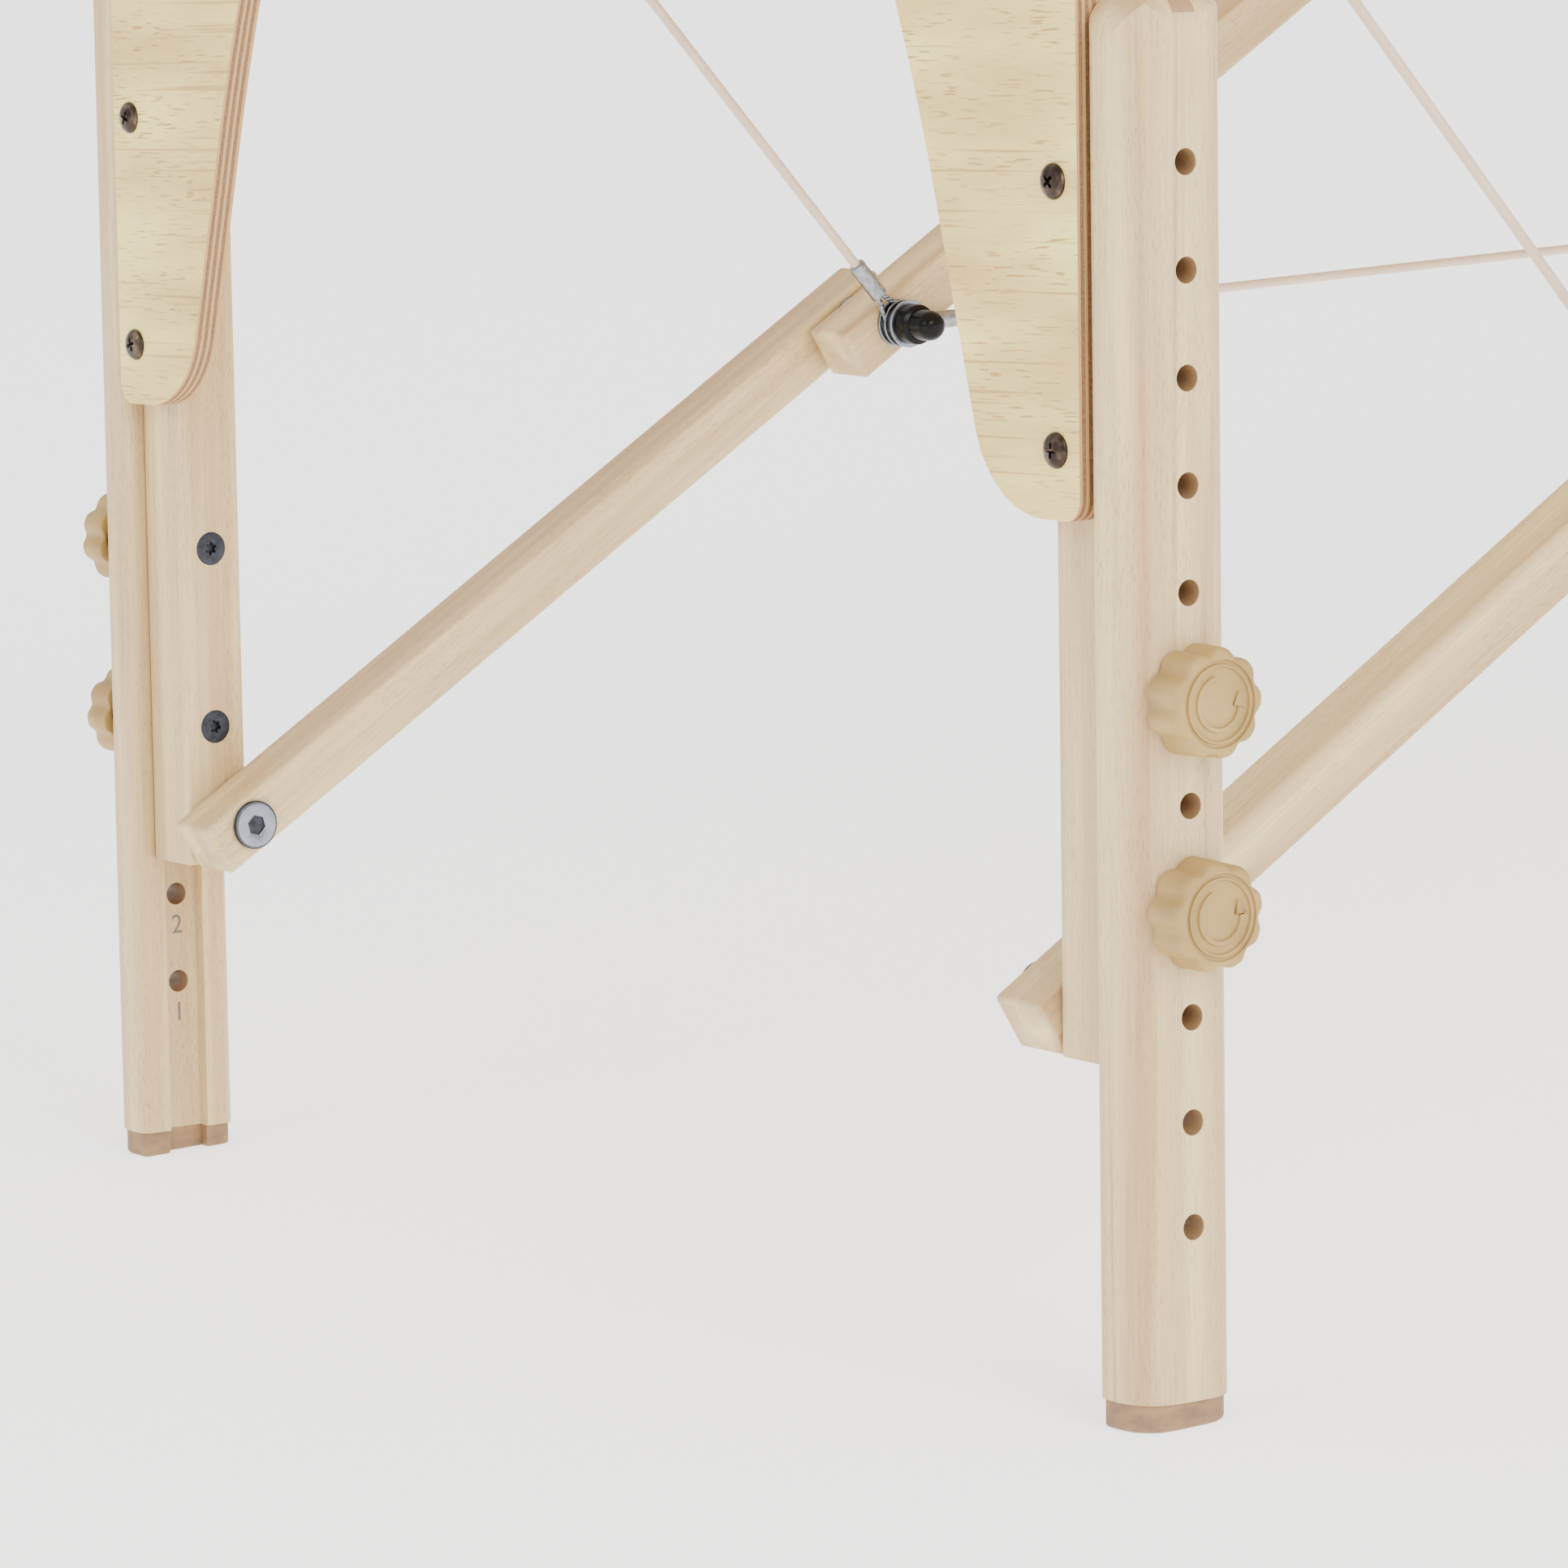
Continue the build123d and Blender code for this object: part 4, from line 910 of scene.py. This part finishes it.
# The ribs of the weave are 1 mm apart, drawn at 1.5 mm so that they show.
weave = node(tree, "Math", {0: warp.outputs[1], 1: weft.outputs[1]}, operation="MULTIPLY")
tone = node(tree, "ValToRGB", {0: weave.outputs[0]}, [(0.05, "#A8946F"), (0.5, "#CBB892"), (0.9, "#D9C8A5")])
bump = node(tree, "Bump", {"Strength": 0.5, "Distance": 0.0005, "Height": weave.outputs[0]})
shade(tree, {"Base Color": tone.outputs[0], "Roughness": 0.78, "Normal": bump.outputs[0],
             "Sheen Weight": 0.25, "Sheen Roughness": 0.5, "IOR": 1.5})
thread, tree = blank("cream polyester thread")
place = along_grain(tree, (0, 0, 0))
ply_twist = stretched(tree, place, (0.4, 0.4, 0.4), Detail=2.0)
tone = node(tree, "ValToRGB", {0: ply_twist}, [(0.3, "#C9BEA6"), (0.7, "#EFE8D8")])
shade(tree, {"Base Color": tone.outputs[0], "Roughness": 0.6, "IOR": 1.5, "Sheen Weight": 0.2})
half_length, stand, end_flat, ramp = 94.0, 23.0, 33.0, 34.0


def bow(x):
    """How far the strap stands off the rail at a place along it."""
    gone = min(max((half_length - end_flat - abs(x)) / ramp, 0), 1)
    return stand * (1 - cos(pi * gone)) / 2


for half, way in HALVES.items():
    middle = Vector((way * 420.0, -350.0, 600.0))
    strap = bmesh.new()
    ring = bmesh.ops.create_circle(strap, segments=28, radius=1)["verts"]
    shape = {}
    for vert in ring:
        angle = atan2(vert.co.y, vert.co.x)
        shape[vert] = (abs(cos(angle)) ** 0.25 * (1 if cos(angle) > 0 else -1),
                       abs(sin(angle)) ** 0.6 * (1 if sin(angle) > 0 else -1))
    edges, gone = strap.edges[:], 0.0
    weave_map = strap.loops.layers.uv.new("weave")
    travel, girth = {}, {}
    steps = [-half_length + i * 2 * half_length / 94 for i in range(95)]
    for index, x in enumerate(steps):
        if index:
            grown = bmesh.ops.extrude_edge_only(strap, edges=edges)["geom"]
            fresh = [g for g in grown if isinstance(g, bmesh.types.BMVert)]
            # An extruded vertex is joined to the one it came from.
            for vert in fresh:
                source = next(e.other_vert(vert) for e in vert.link_edges if e.other_vert(vert) in shape
                              and e.other_vert(vert) not in fresh)
                shape[vert] = shape[source]
            ring = fresh
            edges = [g for g in grown if isinstance(g, bmesh.types.BMEdge)]
        slope = atan2(bow(x + 0.5) - bow(x - 0.5), 1)
        grip = 1.5 * max(0.0, cos(pi * x / 110)) ** 0.5 if abs(x) < 55 else 0.0
        for vert in ring:
            wide, deep = shape[vert]
            away = bow(x) + 2.05 + deep * (1.9 + grip) * cos(slope)
            vert.co = (middle + Vector((x - deep * (1.9 + grip) * sin(slope), -away, wide * 13.8))) * MM
            travel[vert], girth[vert] = x, wide * 14
    ends = [e for e in strap.edges if e.is_boundary]
    bmesh.ops.holes_fill(strap, edges=ends)
    bmesh.ops.recalc_face_normals(strap, faces=strap.faces)
    for face in strap.faces:
        for loop in face.loops:
            loop[weave_map].uv = (travel[loop.vert], girth[loop.vert])
    handle = piece(half + "_carry_handle", [strap], webbing, half + "_half", 60)
    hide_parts(half + "_carry_strap")
    stitches, screws = [], []
    for end in (-1, 1):
        first, last = half_length - end_flat + 5, half_length - 4
        corners = [Vector((end * x, z)) for x, z in ((first, -10), (last, -10), (last, 10), (first, 10))]
        runs = list(zip(corners, corners[1:] + corners[:1])) + [(corners[0], corners[2]), (corners[1], corners[3])]
        for a, b in runs:
            count = round((b - a).length / 3.4)
            for k in range(count):
                spot = a.lerp(b, (k + 0.5) / count)
                sewn = bmesh.new()
                bmesh.ops.create_icosphere(sewn, subdivisions=1, radius=1)
                lie = Matrix.Rotation(-atan2((b - a).y, (b - a).x), 4, "Y")
                at = (middle + Vector((spot.x, -4.05, spot.y))) * MM
                bmesh.ops.transform(sewn, verts=sewn.verts, matrix=Matrix.Translation(at) @ lie
                                    @ Matrix.Diagonal((1.35 * MM, 0.35 * MM, 0.42 * MM, 1)))
                stitches.append(sewn)
        spot = (middle + Vector((end * (half_length - 15.5), -4.0, 0))) * MM
        head = turned([(0, 0.7), (cross(0.9, 0.3), 0.9), (cross(1.9, 0.45), 1.9), (cross(2.0, 0.5), 2.2), (2.6, 2.2),
                       (3.6, 1.8), (4.2, 1.0), (4.3, 0.0), (5.8, 0.0), (6.0, -0.25), (5.8, -0.4), (0, -0.4)], 64)
        screws.append(placed(head, spot, (0, -1, 0), turn=0.4 + end))
    piece(half + "_handle_stitching", stitches, thread, half + "_half")
    piece(half + "_handle_screws", screws, zinc, half + "_half")
